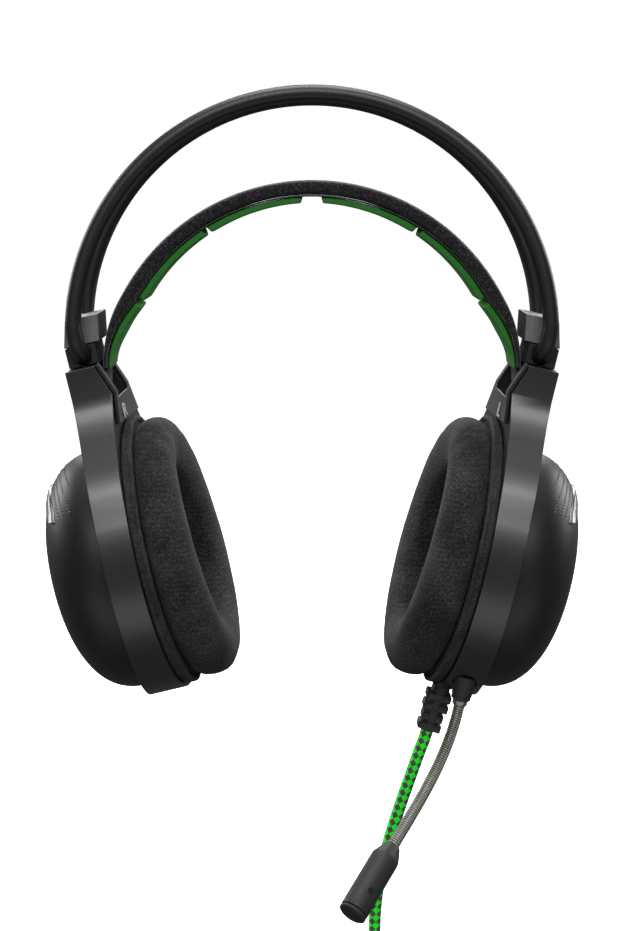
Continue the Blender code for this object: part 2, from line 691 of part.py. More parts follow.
def add_cushion(side_name, side, parent):
    plate = slab([oval(RING_CENTRE_Z, CUSHION_HALF_HEIGHT, CUSHION_HALF_DEPTH, 44),
                  oval(RING_CENTRE_Z, 38 * MM, 30 * MM, 36)], 85.1 * MM, 87.65 * MM)
    add_piece(side_name + "_cushion_plate", plate, BLACK_FABRIC, parent, ear_matrix, side)
    mesh = slab([oval(RING_CENTRE_Z, CUSHION_HALF_HEIGHT, CUSHION_HALF_DEPTH, 44),
                 oval(RING_CENTRE_Z, EAR_HALF_HEIGHT, EAR_HALF_DEPTH, 32)],
                CUSHION_FACE_X, CUSHION_BACK_X)
    work = bmesh.new()
    work.from_mesh(mesh)
    middle = (CUSHION_FACE_X + CUSHION_BACK_X) / 2
    rims = [edge for edge in work.edges
            if len(edge.link_faces) == 2 and edge.calc_face_angle(0) > 1.0
            and all(corner.co.x < middle for corner in edge.verts)]
    bmesh.ops.bevel(work, geom=rims, offset=5.0 * MM, segments=3, profile=0.5, affect="EDGES", material=-1)
    for corner in work.verts:
        share = (CUSHION_BACK_X - corner.co.x) / (CUSHION_BACK_X - CUSHION_FACE_X)
        corner.co.x += CUSHION_FACE_SLOPE * (corner.co.z - RING_CENTRE_Z) * share
    work.to_mesh(mesh)
    work.free()
    add_piece(side_name + "_ear_cushion", mesh, BLACK_FABRIC, parent, ear_matrix, side)


def add_cup(side_name, side):
    place = Vector((side * pivot_place.x, 0, pivot_place.z))
    parent = add_pivot(side_name + "_arm_pivot", place)
    frame = add_arm_frame(side_name, side, parent)
    add_pivot_block(side_name, side, parent)
    add_inner_cover(side_name, side, parent)
    add_outer_shell(side_name, side, parent)
    add_driver(side_name, side, parent)
    add_cushion(side_name, side, parent)
    return parent, frame


# ---- microphone ----

def neck_point(share):
    return bezier(NECK_START, NECK_START + NECK_START_DIRECTION * NECK_HANDLE,
                  NECK_END - NECK_END_DIRECTION * NECK_HANDLE, NECK_END, share)


def add_microphone(cup_parent, frame):
    boss_axis = Vector((-math.sin(CUP_TILT), 0, -math.cos(CUP_TILT)))
    boss_start = NECK_START - boss_axis * 9.4 * MM
    boss_end = NECK_START - boss_axis * 0.5 * MM
    cut(frame, rod_mesh(4.6 * MM, boss_start - boss_axis * 8 * MM, boss_end, 24))
    add_piece("mic_boss", rod_mesh(4.2 * MM, boss_start, boss_end, 24, 3.5 * MM), BLACK_PLASTIC, cup_parent)
    names = ("mic_neck_lower", "mic_neck_middle", "mic_neck_upper")
    for index, name in enumerate(names):
        first = NECK_SPLITS[index]
        last = NECK_SPLITS[index + 1]
        pivot = add_pivot(name + "_pivot", neck_point(first))
        route = [neck_point(first + (last - first) * step / 6) for step in range(7)]
        start_run = (route[1] - route[0]).normalized()
        end_run = (route[-1] - route[-2]).normalized()
        route[0] = route[0] + start_run * NECK_GAP
        route[-1] = route[-1] - end_run * (NECK_GAP if index < 2 else 0.3 * MM)
        add_piece(name, tube_mesh(route, NECK_RADIUS, 2), STEEL, pivot)
        parent = pivot
    axis = NECK_END_DIRECTION.normalized()
    shape = [(0, CAPSULE_LENGTH - 1.2 * MM), (CAPSULE_RADIUS, CAPSULE_LENGTH - 1.2 * MM),
             (CAPSULE_RADIUS, 5.0 * MM), (2.9 * MM, 0), (0, 0)]
    housing = turned_mesh(shape, 28)
    capsule = add_piece("mic_housing", housing, BLACK_PLASTIC, parent, along(NECK_END, axis))
    hollow = turned_mesh([(0, 29.0 * MM), (3.9 * MM, 29.0 * MM), (3.9 * MM, 18.0 * MM), (0, 18.0 * MM)], 20)
    cut(capsule, hollow, along(NECK_END, axis))
    element = turned_mesh([(0, 26.0 * MM), (3.4 * MM, 26.0 * MM), (3.4 * MM, 19.0 * MM), (0, 19.0 * MM)], 20)
    add_piece("mic_element", element, STEEL, parent, along(NECK_END, axis))
    cap = turned_mesh([(0, CAPSULE_LENGTH), (4.4 * MM, CAPSULE_LENGTH),
                       (CAPSULE_RADIUS, CAPSULE_LENGTH - 0.5 * MM),
                       (CAPSULE_RADIUS, CAPSULE_LENGTH - 0.9 * MM), (0, CAPSULE_LENGTH - 0.9 * MM)], 28)
    add_piece("mic_end_cap", cap, PALE_GREY, parent, along(NECK_END, axis))


# ---- volume wheel ----

def add_volume_wheel(cup_parent, frame):
    place = cup_matrix @ WHEEL_CENTRE
    pivot = add_pivot("volume_wheel_pivot", place)
    half = WHEEL_HALF_THICKNESS
    profile = [(WHEEL_RADIUS - 0.4 * MM, half), (WHEEL_RADIUS, half - 0.4 * MM),
               (WHEEL_RADIUS, 0.4 * MM - half),
               (WHEEL_RADIUS - 0.4 * MM, -half), (1.7 * MM, -half), (1.7 * MM, half)]
    axis = cup_matrix @ along(WHEEL_CENTRE, (1, 0, 0))
    add_piece("volume_wheel", turned_mesh(profile, 36), BLACK_RUBBER, pivot, axis)
    low = WHEEL_CENTRE + Vector((-half - 0.4 * MM, -2.0 * MM, -WHEEL_RADIUS - 0.5 * MM))
    high = WHEEL_CENTRE + Vector((half + 0.4 * MM, 12.0 * MM, WHEEL_RADIUS + 0.5 * MM))
    cut(frame, box_mesh(low, high), cup_matrix)
    base = WHEEL_CENTRE + Vector((half + 0.4 * MM, -5.0 * MM, -5.0 * MM))
    top = WHEEL_CENTRE + Vector((half + 2.3 * MM, 1.6 * MM, 5.0 * MM))
    body = bpy.data.objects.new("body", box_mesh(base, top))
    shaft = bpy.data.objects.new("shaft", rod_mesh(1.4 * MM, WHEEL_CENTRE + Vector((half - 3.0 * MM, 0, 0)),
                                                   WHEEL_CENTRE + Vector((half + 1.5 * MM, 0, 0)), 16))
    cutters.objects.link(shaft)
    join = body.modifiers.new("join", "BOOLEAN")
    join.operation = "UNION"
    join.solver = "EXACT"
    join.object = shaft
    mesh = settle(body)
    bpy.data.objects.remove(shaft, do_unlink=True)
    add_piece("volume_control", mesh, BOARD_GREEN, cup_parent, cup_matrix)


# ---- lead ----

def smooth_route(points, spacing):
    """Points at an even spacing on a smooth curve through the given ones."""
    knots = [points[0] * 2 - points[1]] + points + [points[-1] * 2 - points[-2]]
    fine = []
    for index in range(1, len(knots) - 2):
        before, first, second, after = knots[index - 1:index + 3]
        for step in range(12):
            share = step / 12
            fine.append(0.5 * (2 * first + (second - before) * share
                               + (2 * before - 5 * first + 4 * second - after) * share ** 2
                               + (3 * first - before - 3 * second + after) * share ** 3))
    fine.append(points[-1])
    total = sum((second - first).length for first, second in zip(fine, fine[1:]))
    count = max(2, round(total / spacing))
    route = [fine[0]]
    walked = 0.0
    for first, second in zip(fine, fine[1:]):
        step = (second - first).length
        while len(route) < count and walked + step >= total * len(route) / count:
            share = (total * len(route) / count - walked) / step
            route.append(first.lerp(second, share))
        walked += step
    route.append(fine[-1])
    return route


def add_lead(cup_parent, frame):
    down = Vector((-math.sin(RELIEF_LEAN), 0, -math.cos(RELIEF_LEAN)))
    cut(frame, rod_mesh(1.8 * MM, RELIEF_TOP - down * 8 * MM, RELIEF_TOP + down * 2 * MM, 16))
    profile = [(0, -4.5 * MM), (1.5 * MM, -4.5 * MM), (1.5 * MM, 0)]
    for ring in range(4):
        top = (0.6 + ring * 4.0) * MM
        wide = (4.7 - ring * 0.35) * MM
        profile += [(wide - 0.8 * MM, top - 0.6 * MM if ring == 0 else top), (wide, top + 0.6 * MM),
                    (wide, top + 2.2 * MM), (wide - 0.9 * MM, top + 2.8 * MM),
                    (wide - 0.9 * MM, top + 3.9 * MM)]
    profile[-1] = (profile[-1][0], RELIEF_LENGTH)
    profile.append((0, RELIEF_LENGTH))
    add_piece("strain_relief", turned_mesh(profile, 20), BLACK_RUBBER, cup_parent, along(RELIEF_TOP, down))
    start = RELIEF_TOP + down * (RELIEF_LENGTH + GAP)
    points = [start, start + down * 4 * MM] + [Vector(place) * MM for place in LEAD_ROUTE]
    add_piece("cord_lead", tube_mesh(smooth_route(points, 6 * MM), CORD_RADIUS, 2), GREEN_BRAID, cup_parent)
    outer = COIL_MEAN_RADIUS + COIL_HALF_RADIAL
    inner = COIL_MEAN_RADIUS - COIL_HALF_RADIAL
    half = COIL_HALF_AXIAL
    round_off = 2.0 * MM
    section = [(outer - round_off, half), (outer, half - round_off), (outer, round_off - half),
               (outer - round_off, -half), (inner + round_off, -half), (inner, round_off - half),
               (inner, half - round_off), (inner + round_off, half)]
    ring_axis = along(COIL_CENTRE, (0, 1, 0))
    add_piece("cord_coil", turned_mesh(section, 40), GREEN_BRAID, cup_parent, ring_axis)
    room = 0.7 * MM
    wall = 1.2 * MM
    radial = COIL_HALF_RADIAL + room
    axial = COIL_HALF_AXIAL + room
    loops = [[(-radial - wall, -axial - wall), (radial + wall, -axial - wall), (radial + wall, axial + wall),
              (-radial - wall, axial + wall)],
             [(-radial, -axial), (radial, -axial), (radial, axial), (-radial, axial)]]
    strap = flat_mesh(loops, 7.0 * MM)
    out = Vector((math.sin(TIE_ANGLE), 0, math.cos(TIE_ANGLE)))
    tie_matrix = Matrix((out, Vector((0, 1, 0)), out.cross(Vector((0, 1, 0))))).transposed().to_4x4()
    tie_matrix.translation = COIL_CENTRE + out * COIL_MEAN_RADIUS
    add_piece("cord_tie", strap, BLACK_FABRIC, cup_parent, tie_matrix)
    tail = [Vector(place) * MM for place in TAIL_ROUTE]
    add_piece("cord_tail", tube_mesh(smooth_route(tail, 4 * MM), CORD_RADIUS, 2), GREEN_BRAID, cup_parent)
    plug_top = tail[-1] + Vector((0, 0, -GAP))
    body = turned_mesh([(0, 0), (3.0 * MM, 0), (PLUG_RADIUS, 6.0 * MM), (PLUG_RADIUS, PLUG_LENGTH - 1.0 * MM),
                        (PLUG_RADIUS - 1.0 * MM, PLUG_LENGTH), (0, PLUG_LENGTH)], 24)
    add_piece("plug_body", body, BLACK_RUBBER, cup_parent, along(plug_top, (0, 0, -1)))
    pin_top = plug_top + Vector((0, 0, -PLUG_LENGTH - GAP))
    pin = turned_mesh([(0, 0), (1.75 * MM, 0), (1.75 * MM, 11.6 * MM), (1.2 * MM, 12.2 * MM),
                       (1.7 * MM, 13.0 * MM), (0.5 * MM, 14.0 * MM), (0, 14.0 * MM)], 16)
    add_piece("plug_pin", pin, GOLD, cup_parent, along(pin_top, (0, 0, -1)))


add_tubes()
add_strap(add_pivot("strap_slide_guide", (0, 0, 0)))
add_cup("right", -1)
left_pivot, left_frame = add_cup("left", 1)
add_microphone(left_pivot, left_frame)
add_volume_wheel(left_pivot, left_frame)
add_lead(left_pivot, left_frame)
bpy.context.view_layer.update()
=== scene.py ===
import bmesh
import bpy
import math
from mathutils import Matrix, Vector


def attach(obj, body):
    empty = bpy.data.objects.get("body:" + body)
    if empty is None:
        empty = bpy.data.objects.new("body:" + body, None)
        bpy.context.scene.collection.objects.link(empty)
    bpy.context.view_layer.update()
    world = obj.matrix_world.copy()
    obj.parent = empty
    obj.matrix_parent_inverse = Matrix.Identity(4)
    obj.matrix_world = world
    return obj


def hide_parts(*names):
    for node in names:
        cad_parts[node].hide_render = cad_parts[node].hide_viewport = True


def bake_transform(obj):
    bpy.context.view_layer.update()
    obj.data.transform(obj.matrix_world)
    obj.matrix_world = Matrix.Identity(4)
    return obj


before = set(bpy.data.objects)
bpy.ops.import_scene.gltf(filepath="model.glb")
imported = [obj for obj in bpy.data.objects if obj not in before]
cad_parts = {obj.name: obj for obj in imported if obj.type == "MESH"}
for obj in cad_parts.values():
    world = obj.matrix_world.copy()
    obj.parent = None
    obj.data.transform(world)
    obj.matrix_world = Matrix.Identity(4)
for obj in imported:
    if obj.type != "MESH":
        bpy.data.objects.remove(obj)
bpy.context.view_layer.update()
mm = 0.001
print("frame loaded:", len(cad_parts), "parts")

# the camera stands level with the middle of the strap, a long lens two thirds of a metre in front
cameraValues = {"distance": 0.660, "height": 0.00305, "pitch": 3.0, "lens": 67.79,
                "shiftX": -0.0016, "shiftY": -0.1976}


def addCamera(values):
    data = bpy.data.cameras.new("productCamera")
    data.sensor_width = 36.0
    data.lens = values["lens"]
    data.shift_x = values["shiftX"]
    data.shift_y = values["shiftY"]
    data.clip_start = 0.01
    data.clip_end = 100.0
    camera = bpy.data.objects.new("productCamera", data)
    camera.location = (0, -values["distance"], values["height"])
    camera.rotation_euler = (math.radians(90 - values["pitch"]), 0, 0)
    bpy.context.scene.collection.objects.link(camera)
    bpy.context.scene.camera = camera


addCamera(cameraValues)

# the cups are built in a cup frame, x outwards, y to the rear, z up, which leans by the cup's tilt
cupValues = {"tilt": math.radians(13.6), "yaw": math.radians(4.3), "ringInnerX": 0.088}
cupFrame = Matrix.Rotation(cupValues["tilt"], 4, "Y")


def turnAbout(x, angle):
    # a turn about the upright line through x
    return Matrix.Translation((x, 0, 0)) @ Matrix.Rotation(angle, 4, "Z") @ Matrix.Translation((-x, 0, 0))


earFrame = cupFrame @ turnAbout(cupValues["ringInnerX"], cupValues["yaw"])


def colourOf(text, alpha=1.0):
    parts = [int(text[start:start + 2], 16) / 255 for start in (1, 3, 5)]
    return (*[p / 12.92 if p <= 0.04045 else ((p + 0.055) / 1.055) ** 2.4 for p in parts], alpha)


def addNode(tree, kind, values=None, links=None, **settings):
    node = tree.nodes.new("ShaderNode" + kind)
    for name, value in settings.items():
        setattr(node, name, value)
    for name, value in (values or {}).items():
        node.inputs[name].default_value = value
    for name, source in (links or {}).items():
        tree.links.new(source, node.inputs[name])
    return node


def setRamp(node, stops):
    ramp = node.color_ramp
    while len(ramp.elements) < len(stops):
        ramp.elements.new(0.5)
    for element, (place, colour) in zip(ramp.elements, stops):
        element.position = place
        element.color = colourOf(colour)
    return node


def startMaterial(name, colour, roughness, **sockets):
    material = bpy.data.materials.new(name)
    material.use_nodes = True
    shader = material.node_tree.nodes["Principled BSDF"]
    shader.inputs["Base Color"].default_value = colourOf(colour)
    shader.inputs["Roughness"].default_value = roughness
    for socket, value in sockets.items():
        shader.inputs[socket.replace("_", " ")].default_value = value
    return material, material.node_tree, shader


def smoothStep(value):
    value = min(max(value, 0.0), 1.0)
    return value * value * (3 - 2 * value)


def bezier(start, startHandle, endHandle, end, share):
    rest = 1 - share
    return (rest ** 3 * start + 3 * rest * rest * share * startHandle
            + 3 * rest * share * share * endHandle + share ** 3 * end)


def makePiece(work, name, body, finish, replaced=(), side=1, sharp=35.0):
    # one finished object at the origin, its place in its mesh; side -1 mirrors a left piece to the right
    if side < 0:
        bmesh.ops.scale(work, vec=(-1, 1, 1), verts=work.verts)
        bmesh.ops.reverse_faces(work, faces=work.faces)
    mesh = bpy.data.meshes.new(name)
    work.to_mesh(mesh)
    work.free()
    mesh.shade_smooth()
    mesh.set_sharp_from_angle(angle=math.radians(sharp))
    for material in finish if isinstance(finish, (list, tuple)) else (finish,):
        mesh.materials.append(material)
    piece = bpy.data.objects.new(name, mesh)
    bpy.context.scene.collection.objects.link(piece)
    if body:
        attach(piece, body)
    if replaced:
        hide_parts(*replaced)
    return piece


def pathStations(points, radius, across=None):
    # a matrix at each point, z along the path and x towards across, or carried along without twist
    stations = []
    walked = 0.0
    aside = Vector(across) if across else None
    for number, point in enumerate(points):
        before = points[max(number - 1, 0)]
        after = points[min(number + 1, len(points) - 1)]
        run = (after - before).normalized()
        if number:
            walked += (point - before).length
        if aside is None:
            aside = run.orthogonal()
        aside = (aside - run * aside.dot(run)).normalized()
        up = run.cross(aside)
        wide = radius[number] if isinstance(radius, list) else radius
        matrix = Matrix((aside * wide, up * wide, run)).transposed().to_4x4()
        matrix.translation = point
        stations.append((matrix, walked))
    return stations


def sweep(stations, sides, square=1.0, swell=None, closed=False):
    # a circle placed by the first station and extruded through the others; its UV map is laid
    # once round and in metres along
    work = bmesh.new()
    lay = work.loops.layers.uv.new("lay")
    ring = bmesh.ops.create_circle(work, segments=sides, radius=1.0)["verts"]
    unit = []
    for corner in ring:
        x, y = corner.co.x, corner.co.y
        unit.append(Vector((math.copysign(abs(x) ** square, x), math.copysign(abs(y) ** square, y), 0)))
    angles = [2 * math.pi * number / sides for number in range(sides)]
    number = {corner: index for index, corner in enumerate(ring)}
    edges = list(work.edges)
    firstEdges = edges
    where = {}

    def putRing(matrix, distance):
        for corner, index in number.items():
            grow = swell(angles[index], distance) if swell else 1.0
            corner.co = matrix @ (unit[index] * grow)
            where[corner] = (index, distance)

    putRing(*stations[0])
    for matrix, distance in stations[1:]:
        grown = bmesh.ops.extrude_edge_only(work, edges=edges)["geom"]
        edges = [item for item in grown if isinstance(item, bmesh.types.BMEdge)]
        older = number
        number = {}
        for corner in grown:
            if isinstance(corner, bmesh.types.BMVert):
                for edge in corner.link_edges:
                    other = edge.other_vert(corner)
                    if other in older:
                        number[corner] = older[other]
        putRing(matrix, distance)
    for face in work.faces:
        indexes = [where[loop.vert][0] for loop in face.loops]
        wraps = max(indexes) - min(indexes) > sides / 2
        for loop, index in zip(face.loops, indexes):
            turn = index + sides if wraps and index < sides / 2 else index
            loop[lay].uv = (turn / sides, where[loop.vert][1])
    if closed:
        bmesh.ops.remove_doubles(work, verts=work.verts, dist=0.00001)
    else:
        bmesh.ops.edgeloop_fill(work, edges=firstEdges)
        bmesh.ops.edgeloop_fill(work, edges=edges)
    bmesh.ops.recalc_face_normals(work, faces=work.faces)
    return work


def smoothRoute(points, spacing):
    # even points on a smooth curve through the given ones
    knots = [points[0] * 2 - points[1]] + points + [points[-1] * 2 - points[-2]]
    fine = []
    for index in range(1, len(knots) - 2):
        before, first, second, after = knots[index - 1:index + 3]
        for step in range(16):
            share = step / 16
            fine.append(0.5 * (2 * first + (second - before) * share
                               + (2 * before - 5 * first + 4 * second - after) * share ** 2
                               + (3 * first - before - 3 * second + after) * share ** 3))
    fine.append(points[-1])
    total = sum((second - first).length for first, second in zip(fine, fine[1:]))
    count = max(2, round(total / spacing))
    route = [fine[0]]
    walked = 0.0
    for first, second in zip(fine, fine[1:]):
        step = (second - first).length
        while len(route) < count and walked + step >= total * len(route) / count:
            route.append(first.lerp(second, (total * len(route) / count - walked) / step))
        walked += step
    route.append(fine[-1])
    return route


# braided polyester sleeve over a round lead: dull woven checks, two colours of yarn
sleeveValues = {"dyed": "#00ff04", "dark": "#4a3f4d", "checksRound": 10.0, "checkLength": 1.5 * mm,
                "yarnsAcross": 0.62, "relief": 0.25 * mm}


def wovenSleeve():
    values = sleeveValues
    material, tree, shader = startMaterial("braidedPolyesterSleeve", "#17c81b", 0.80, Sheen_Weight=0.05)
    lay = addNode(tree, "UVMap", uv_map="lay")
    scale = (values["checksRound"], 1 / values["checkLength"], 1.0)
    woven = addNode(tree, "Mapping", {"Rotation": (0, 0, math.radians(45)), "Scale": scale},
                    {"Vector": lay.outputs["UV"]}).outputs["Vector"]
    checks = addNode(tree, "TexChecker", {"Scale": 0.70711, "Color1": colourOf(values["dyed"]),
                                          "Color2": colourOf(values["dark"])}, {"Vector": woven})
    yarn = addNode(tree, "TexWave", {"Scale": values["yarnsAcross"], "Distortion": 0.6, "Detail": 1.0},
                   {"Vector": woven}, wave_type="BANDS", bands_direction="X")
    shade = setRamp(addNode(tree, "ValToRGB", None, {"Fac": yarn.outputs["Fac"]}),
                    [(0.0, "#dedede"), (0.6, "#ffffff")])
    mixed = addNode(tree, "MixRGB", {"Fac": 1.0}, {"Color1": checks.outputs["Color"],
                                                   "Color2": shade.outputs["Color"]}, blend_type="MULTIPLY")
    tree.links.new(mixed.outputs["Color"], shader.inputs["Base Color"])
    # the checks stand proud of the gaps between them
    across = addNode(tree, "VectorMath", None, {0: woven}, operation="FRACTION")
    cell = addNode(tree, "VectorMath", {1: (0.5, 0.5, 0.5)}, {0: across.outputs["Vector"]},
                   operation="DISTANCE")
    height = addNode(tree, "MapRange", {"From Min": 0.15, "From Max": 0.72, "To Min": 1.0, "To Max": 0.0},
                     {"Value": cell.outputs["Value"]})
    bump = addNode(tree, "Bump", {"Strength": 0.5, "Distance": values["relief"]},
                   {"Height": height.outputs["Result"]})
    tree.links.new(bump.outputs["Normal"], shader.inputs["Normal"])
    return material


cordValues = {"diameter": 4.8 * mm, "reliefTop": Vector((48.5, -6.0, -185.7)) * mm,
              "reliefLean": math.radians(17.6), "reliefLength": 16.0 * mm,
              "lead": ((41.2, -208.0), (37.9, -217.4), (34.4, -227.5), (31.0, -238.0), (27.9, -249.0),
                       (25.4, -260.0), (24.1, -271.0)),
              "coilCentre": Vector((23.8, -6.0, -318.4)) * mm, "layers": (31.5 * mm, 26.5 * mm, 21.5 * mm),
              "rows": (7.4 * mm, 2.47 * mm, -2.47 * mm, -7.4 * mm), "stepAngle": 293.0, "stepLength": 70.0,
              "entryRadius": 10.0 * mm, "plugTop": Vector((14.0, -24.2, -307.0)) * mm, "leadY": -6.0 * mm,
              "spacing": 1.6 * mm, "pointsPerTurn": 44, "lastTurnShort": 6}
# the turns fill three layers of four rows; each pair is (layer, row)
turnOrder = ((0, 2), (0, 1), (0, 0), (1, 0), (2, 0), (2, 1), (1, 1), (1, 2), (2, 2), (2, 3), (1, 3), (0, 3))
reliefDown = Vector((-math.sin(cordValues["reliefLean"]), 0, -math.cos(cordValues["reliefLean"])))


def coilPoint(turnAngle):
    # a turn keeps to its own place in the coil and steps to the next one under the tie
    values = cordValues
    turn = min(int(turnAngle // 360), len(turnOrder) - 1)
    layer, row = turnOrder[turn]
    nextLayer, nextRow = turnOrder[min(turn + 1, len(turnOrder) - 1)]
    share = smoothStep((turnAngle - 360 * turn - values["stepAngle"]) / values["stepLength"])
    radius = values["layers"][layer] * (1 - share) + values["layers"][nextLayer] * share
    offset = values["rows"][row] * (1 - share) + values["rows"][nextRow] * share
    angle = math.radians(turnAngle)
    return values["coilCentre"] + Vector((-radius * math.sin(angle), offset, radius * math.cos(angle)))


def cordRoute():
    values = cordValues
    start = values["reliefTop"] + reliefDown * (values["reliefLength"] - 1.5 * mm)
    points = [start, start + reliefDown * 6 * mm]
    points += [Vector((x * mm, values["leadY"], z * mm)) for x, z in values["lead"]]
    # a quarter turn brings the hanging lead round on to the coil
    centre, outer, bend = values["coilCentre"], values["layers"][0], values["entryRadius"]
    joinAngle = math.asin(bend / (bend + outer))
    top = centre.z + (bend + outer) * math.cos(joinAngle)
    row = centre.y + values["rows"][turnOrder[0][1]]
    for step in range(5):
        angle = (math.pi / 2 - joinAngle) * step / 5
        depth = values["leadY"] + (row - values["leadY"]) * smoothStep((step + 1.5) / 4)
        points.append(Vector((centre.x - bend + bend * math.cos(angle), depth, top - bend * math.sin(angle))))
    first = math.degrees(joinAngle)
    last = 360 * len(turnOrder) - values["lastTurnShort"]
    lead = smoothRoute(points + [coilPoint(first)], values["spacing"])
    count = len(turnOrder) * values["pointsPerTurn"]
    coil = [coilPoint(first + (last - first) * step / count) for step in range(1, count + 1)]
    leave, plug = coil[-1], values["plugTop"]
    foot = plug + Vector((0, 0, 6.5 * mm))
    leaveHandle = leave + Vector((-12, -1.0, 1.6)) * mm
    footHandle = foot + Vector((0, 0, 11)) * mm
    tail = [bezier(leave, leaveHandle, footHandle, foot, step / 14) for step in range(1, 15)]
    return lead + coil + tail + [plug + Vector((0, 0, 3.0 * mm)), plug + Vector((0, 0, -1.0 * mm))]


def addCord():
    route = cordRoute()
    length = sum((second - first).length for first, second in zip(route, route[1:]))
    work = sweep(pathStations(route, cordValues["diameter"] / 2), 12)
    cord = makePiece(work, "braidedLead", "left_cup", wovenSleeve(),
                     ("cord_lead", "cord_coil", "cord_tail"))
    print("lead length", round(length, 3), "m")
    return cord, route


cordPiece, cordPath = addCord()


def tintAndBump(tree, shader, source, stops, strength, distance, **settings):
    # one pattern gives both the colour and the height
    tint = setRamp(addNode(tree, "ValToRGB", None, {"Fac": source}), stops)
    tree.links.new(tint.outputs["Color"], shader.inputs["Base Color"])
    bump = addNode(tree, "Bump", {"Strength": strength, "Distance": distance}, {"Height": source}, **settings)
    tree.links.new(bump.outputs["Normal"], shader.inputs["Normal"])


grainValues = {"low": 0.38, "high": 0.62, "detail": 3.0, "coarseness": 0.6}


def grain(tree, shader, dark, light, sizeMm, rough, bumpMm, strength, stretch=(1, 1, 1)):
    # fine mottling of colour, gloss and height, sized in millimetres
    low, high = grainValues["low"], grainValues["high"]
    place = addNode(tree, "TexCoord")
    spread = addNode(tree, "Mapping", {"Scale": stretch}, {"Vector": place.outputs["Object"]})
    speck = addNode(tree, "TexNoise", {"Scale": 1 / (sizeMm * mm), "Detail": grainValues["detail"],
                                       "Roughness": grainValues["coarseness"]},
                    {"Vector": spread.outputs["Vector"]}).outputs["Fac"]
    ends = {"From Min": low, "From Max": high, "To Min": rough[0], "To Max": rough[1]}
    gloss = addNode(tree, "MapRange", ends, {"Value": speck})
    tree.links.new(gloss.outputs["Result"], shader.inputs["Roughness"])
    tintAndBump(tree, shader, speck, [(low, dark), (high, light)], strength, bumpMm * mm)


def satinPaint():
    # sprayed metallic paint on ABS: even grey with fine flake, gloss softened to a satin
    material, tree, shader = startMaterial("satinPaintOnAbs", "#4a4a4a", 0.32, IOR=1.5, Metallic=0.8)
    grain(tree, shader, "#474747", "#4f4f4f", 0.3, (0.30, 0.35), 0.004, 0.15)
    return material


def palePaint():
    # the same paint a shade lighter, brushed along the plate before it was lacquered
    material, tree, shader = startMaterial("brushedPaintOnAbs", "#767676", 0.38, IOR=1.5, Metallic=0.4)
    grain(tree, shader, "#6e6e6e", "#7f7f7f", 0.4, (0.34, 0.42), 0.006, 0.2, (1.0, 0.08, 1.0))
    return material


def moulded(name, dark, light, rough, sizeMm=0.35, bumpMm=0.02, strength=0.35):
    # a hard plastic from a spark-eroded tool, ABS unless its name says otherwise: very fine even grain
    material, tree, shader = startMaterial(name, dark, rough[0], IOR=1.5)
    grain(tree, shader, dark, light, sizeMm, rough, bumpMm, strength)
    return material


def softRubber(name, dark, light, rough):
    # soft-touch elastomer: dull, with broad soft highlights
    material, tree, shader = startMaterial(name, dark, rough[0], IOR=1.52)
    grain(tree, shader, dark, light, 0.6, rough, 0.004, 0.12)
    return material


def knitFabric(name, dark, light, sheen, loopMm=0.9, cloudMm=14.0):
    # brushed polyester knit over foam: mottled loops, a soft pile that catches the light at the edges
    material, tree, shader = startMaterial(name, dark, 0.92, Sheen_Weight=sheen, Sheen_Roughness=0.4,
                                           IOR=1.45)
    reach = {"Vector": addNode(tree, "TexCoord").outputs["Object"]}
    loops = addNode(tree, "TexVoronoi", {"Scale": 1 / (loopMm * mm), "Randomness": 0.85}, reach)
    fuzz = addNode(tree, "TexNoise", {"Scale": 1 / (0.5 * mm), "Detail": 4.0, "Roughness": 0.8}, reach)
    cloud = addNode(tree, "TexNoise", {"Scale": 1 / (cloudMm * mm), "Detail": 2.0}, reach)
    ribs = addNode(tree, "TexWave", {"Scale": 1 / (5.5 * mm), "Distortion": 2.5, "Detail": 2.0,
                                     "Detail Scale": 1.5}, reach, wave_type="BANDS", bands_direction="Z")
    mixed = addNode(tree, "Math", {1: 0.64}, {0: fuzz.outputs["Fac"]}, operation="MULTIPLY")
    for layer, weight in ((cloud.outputs["Fac"], 0.26), (ribs.outputs["Fac"], 0.03),
                          (loops.outputs["Distance"], 0.14)):
        mixed = addNode(tree, "Math", {1: weight}, {0: layer, 2: mixed.outputs["Value"]},
                        operation="MULTIPLY_ADD")
    tintAndBump(tree, shader, mixed.outputs["Value"], [(0.49, dark), (0.71, light)], 0.55, 0.4 * mm)
    return material


def airMesh():
    # spacer mesh on the strap: a speckle of pale yarn tips over dark backing
    material, tree, shader = startMaterial("polyesterSpacerMesh", "#161517", 0.95, Sheen_Weight=0.35,
                                           Sheen_Roughness=0.35, IOR=1.45)
    reach = {"Vector": addNode(tree, "TexCoord").outputs["Object"]}
    cells = addNode(tree, "TexVoronoi", {"Scale": 1 / (1.05 * mm), "Randomness": 0.7}, reach)
    fuzz = addNode(tree, "TexNoise", {"Scale": 1 / (0.55 * mm), "Detail": 3.0, "Roughness": 0.7}, reach)
    mixed = addNode(tree, "Math", {1: 0.5}, {0: cells.outputs["Distance"], 2: fuzz.outputs["Fac"]},
                    operation="MULTIPLY_ADD")
    tintAndBump(tree, shader, mixed.outputs["Value"],
                [(0.55, "#3a383c"), (0.72, "#1a191b"), (0.9, "#0b0b0c")], 0.7, 0.5 * mm, invert=True)
    return material


def greenFoam():
    # closed-cell EVA foam dyed through: matt, faint pores
    material, tree, shader = startMaterial("evaFoam", "#156a15", 0.75, IOR=1.45)
    grain(tree, shader, "#115e10", "#187418", 0.5, (0.62, 0.78), 0.02, 0.3)
    return material


def bareMetal(name, dark, light, rough):
    # polished, drawn or plated metal: bright reflections, softened by very fine marks
    material, tree, shader = startMaterial(name, light, rough[0], Metallic=1.0)
    grain(tree, shader, dark, light, 0.4, rough, 0.005, 0.2)
    return material


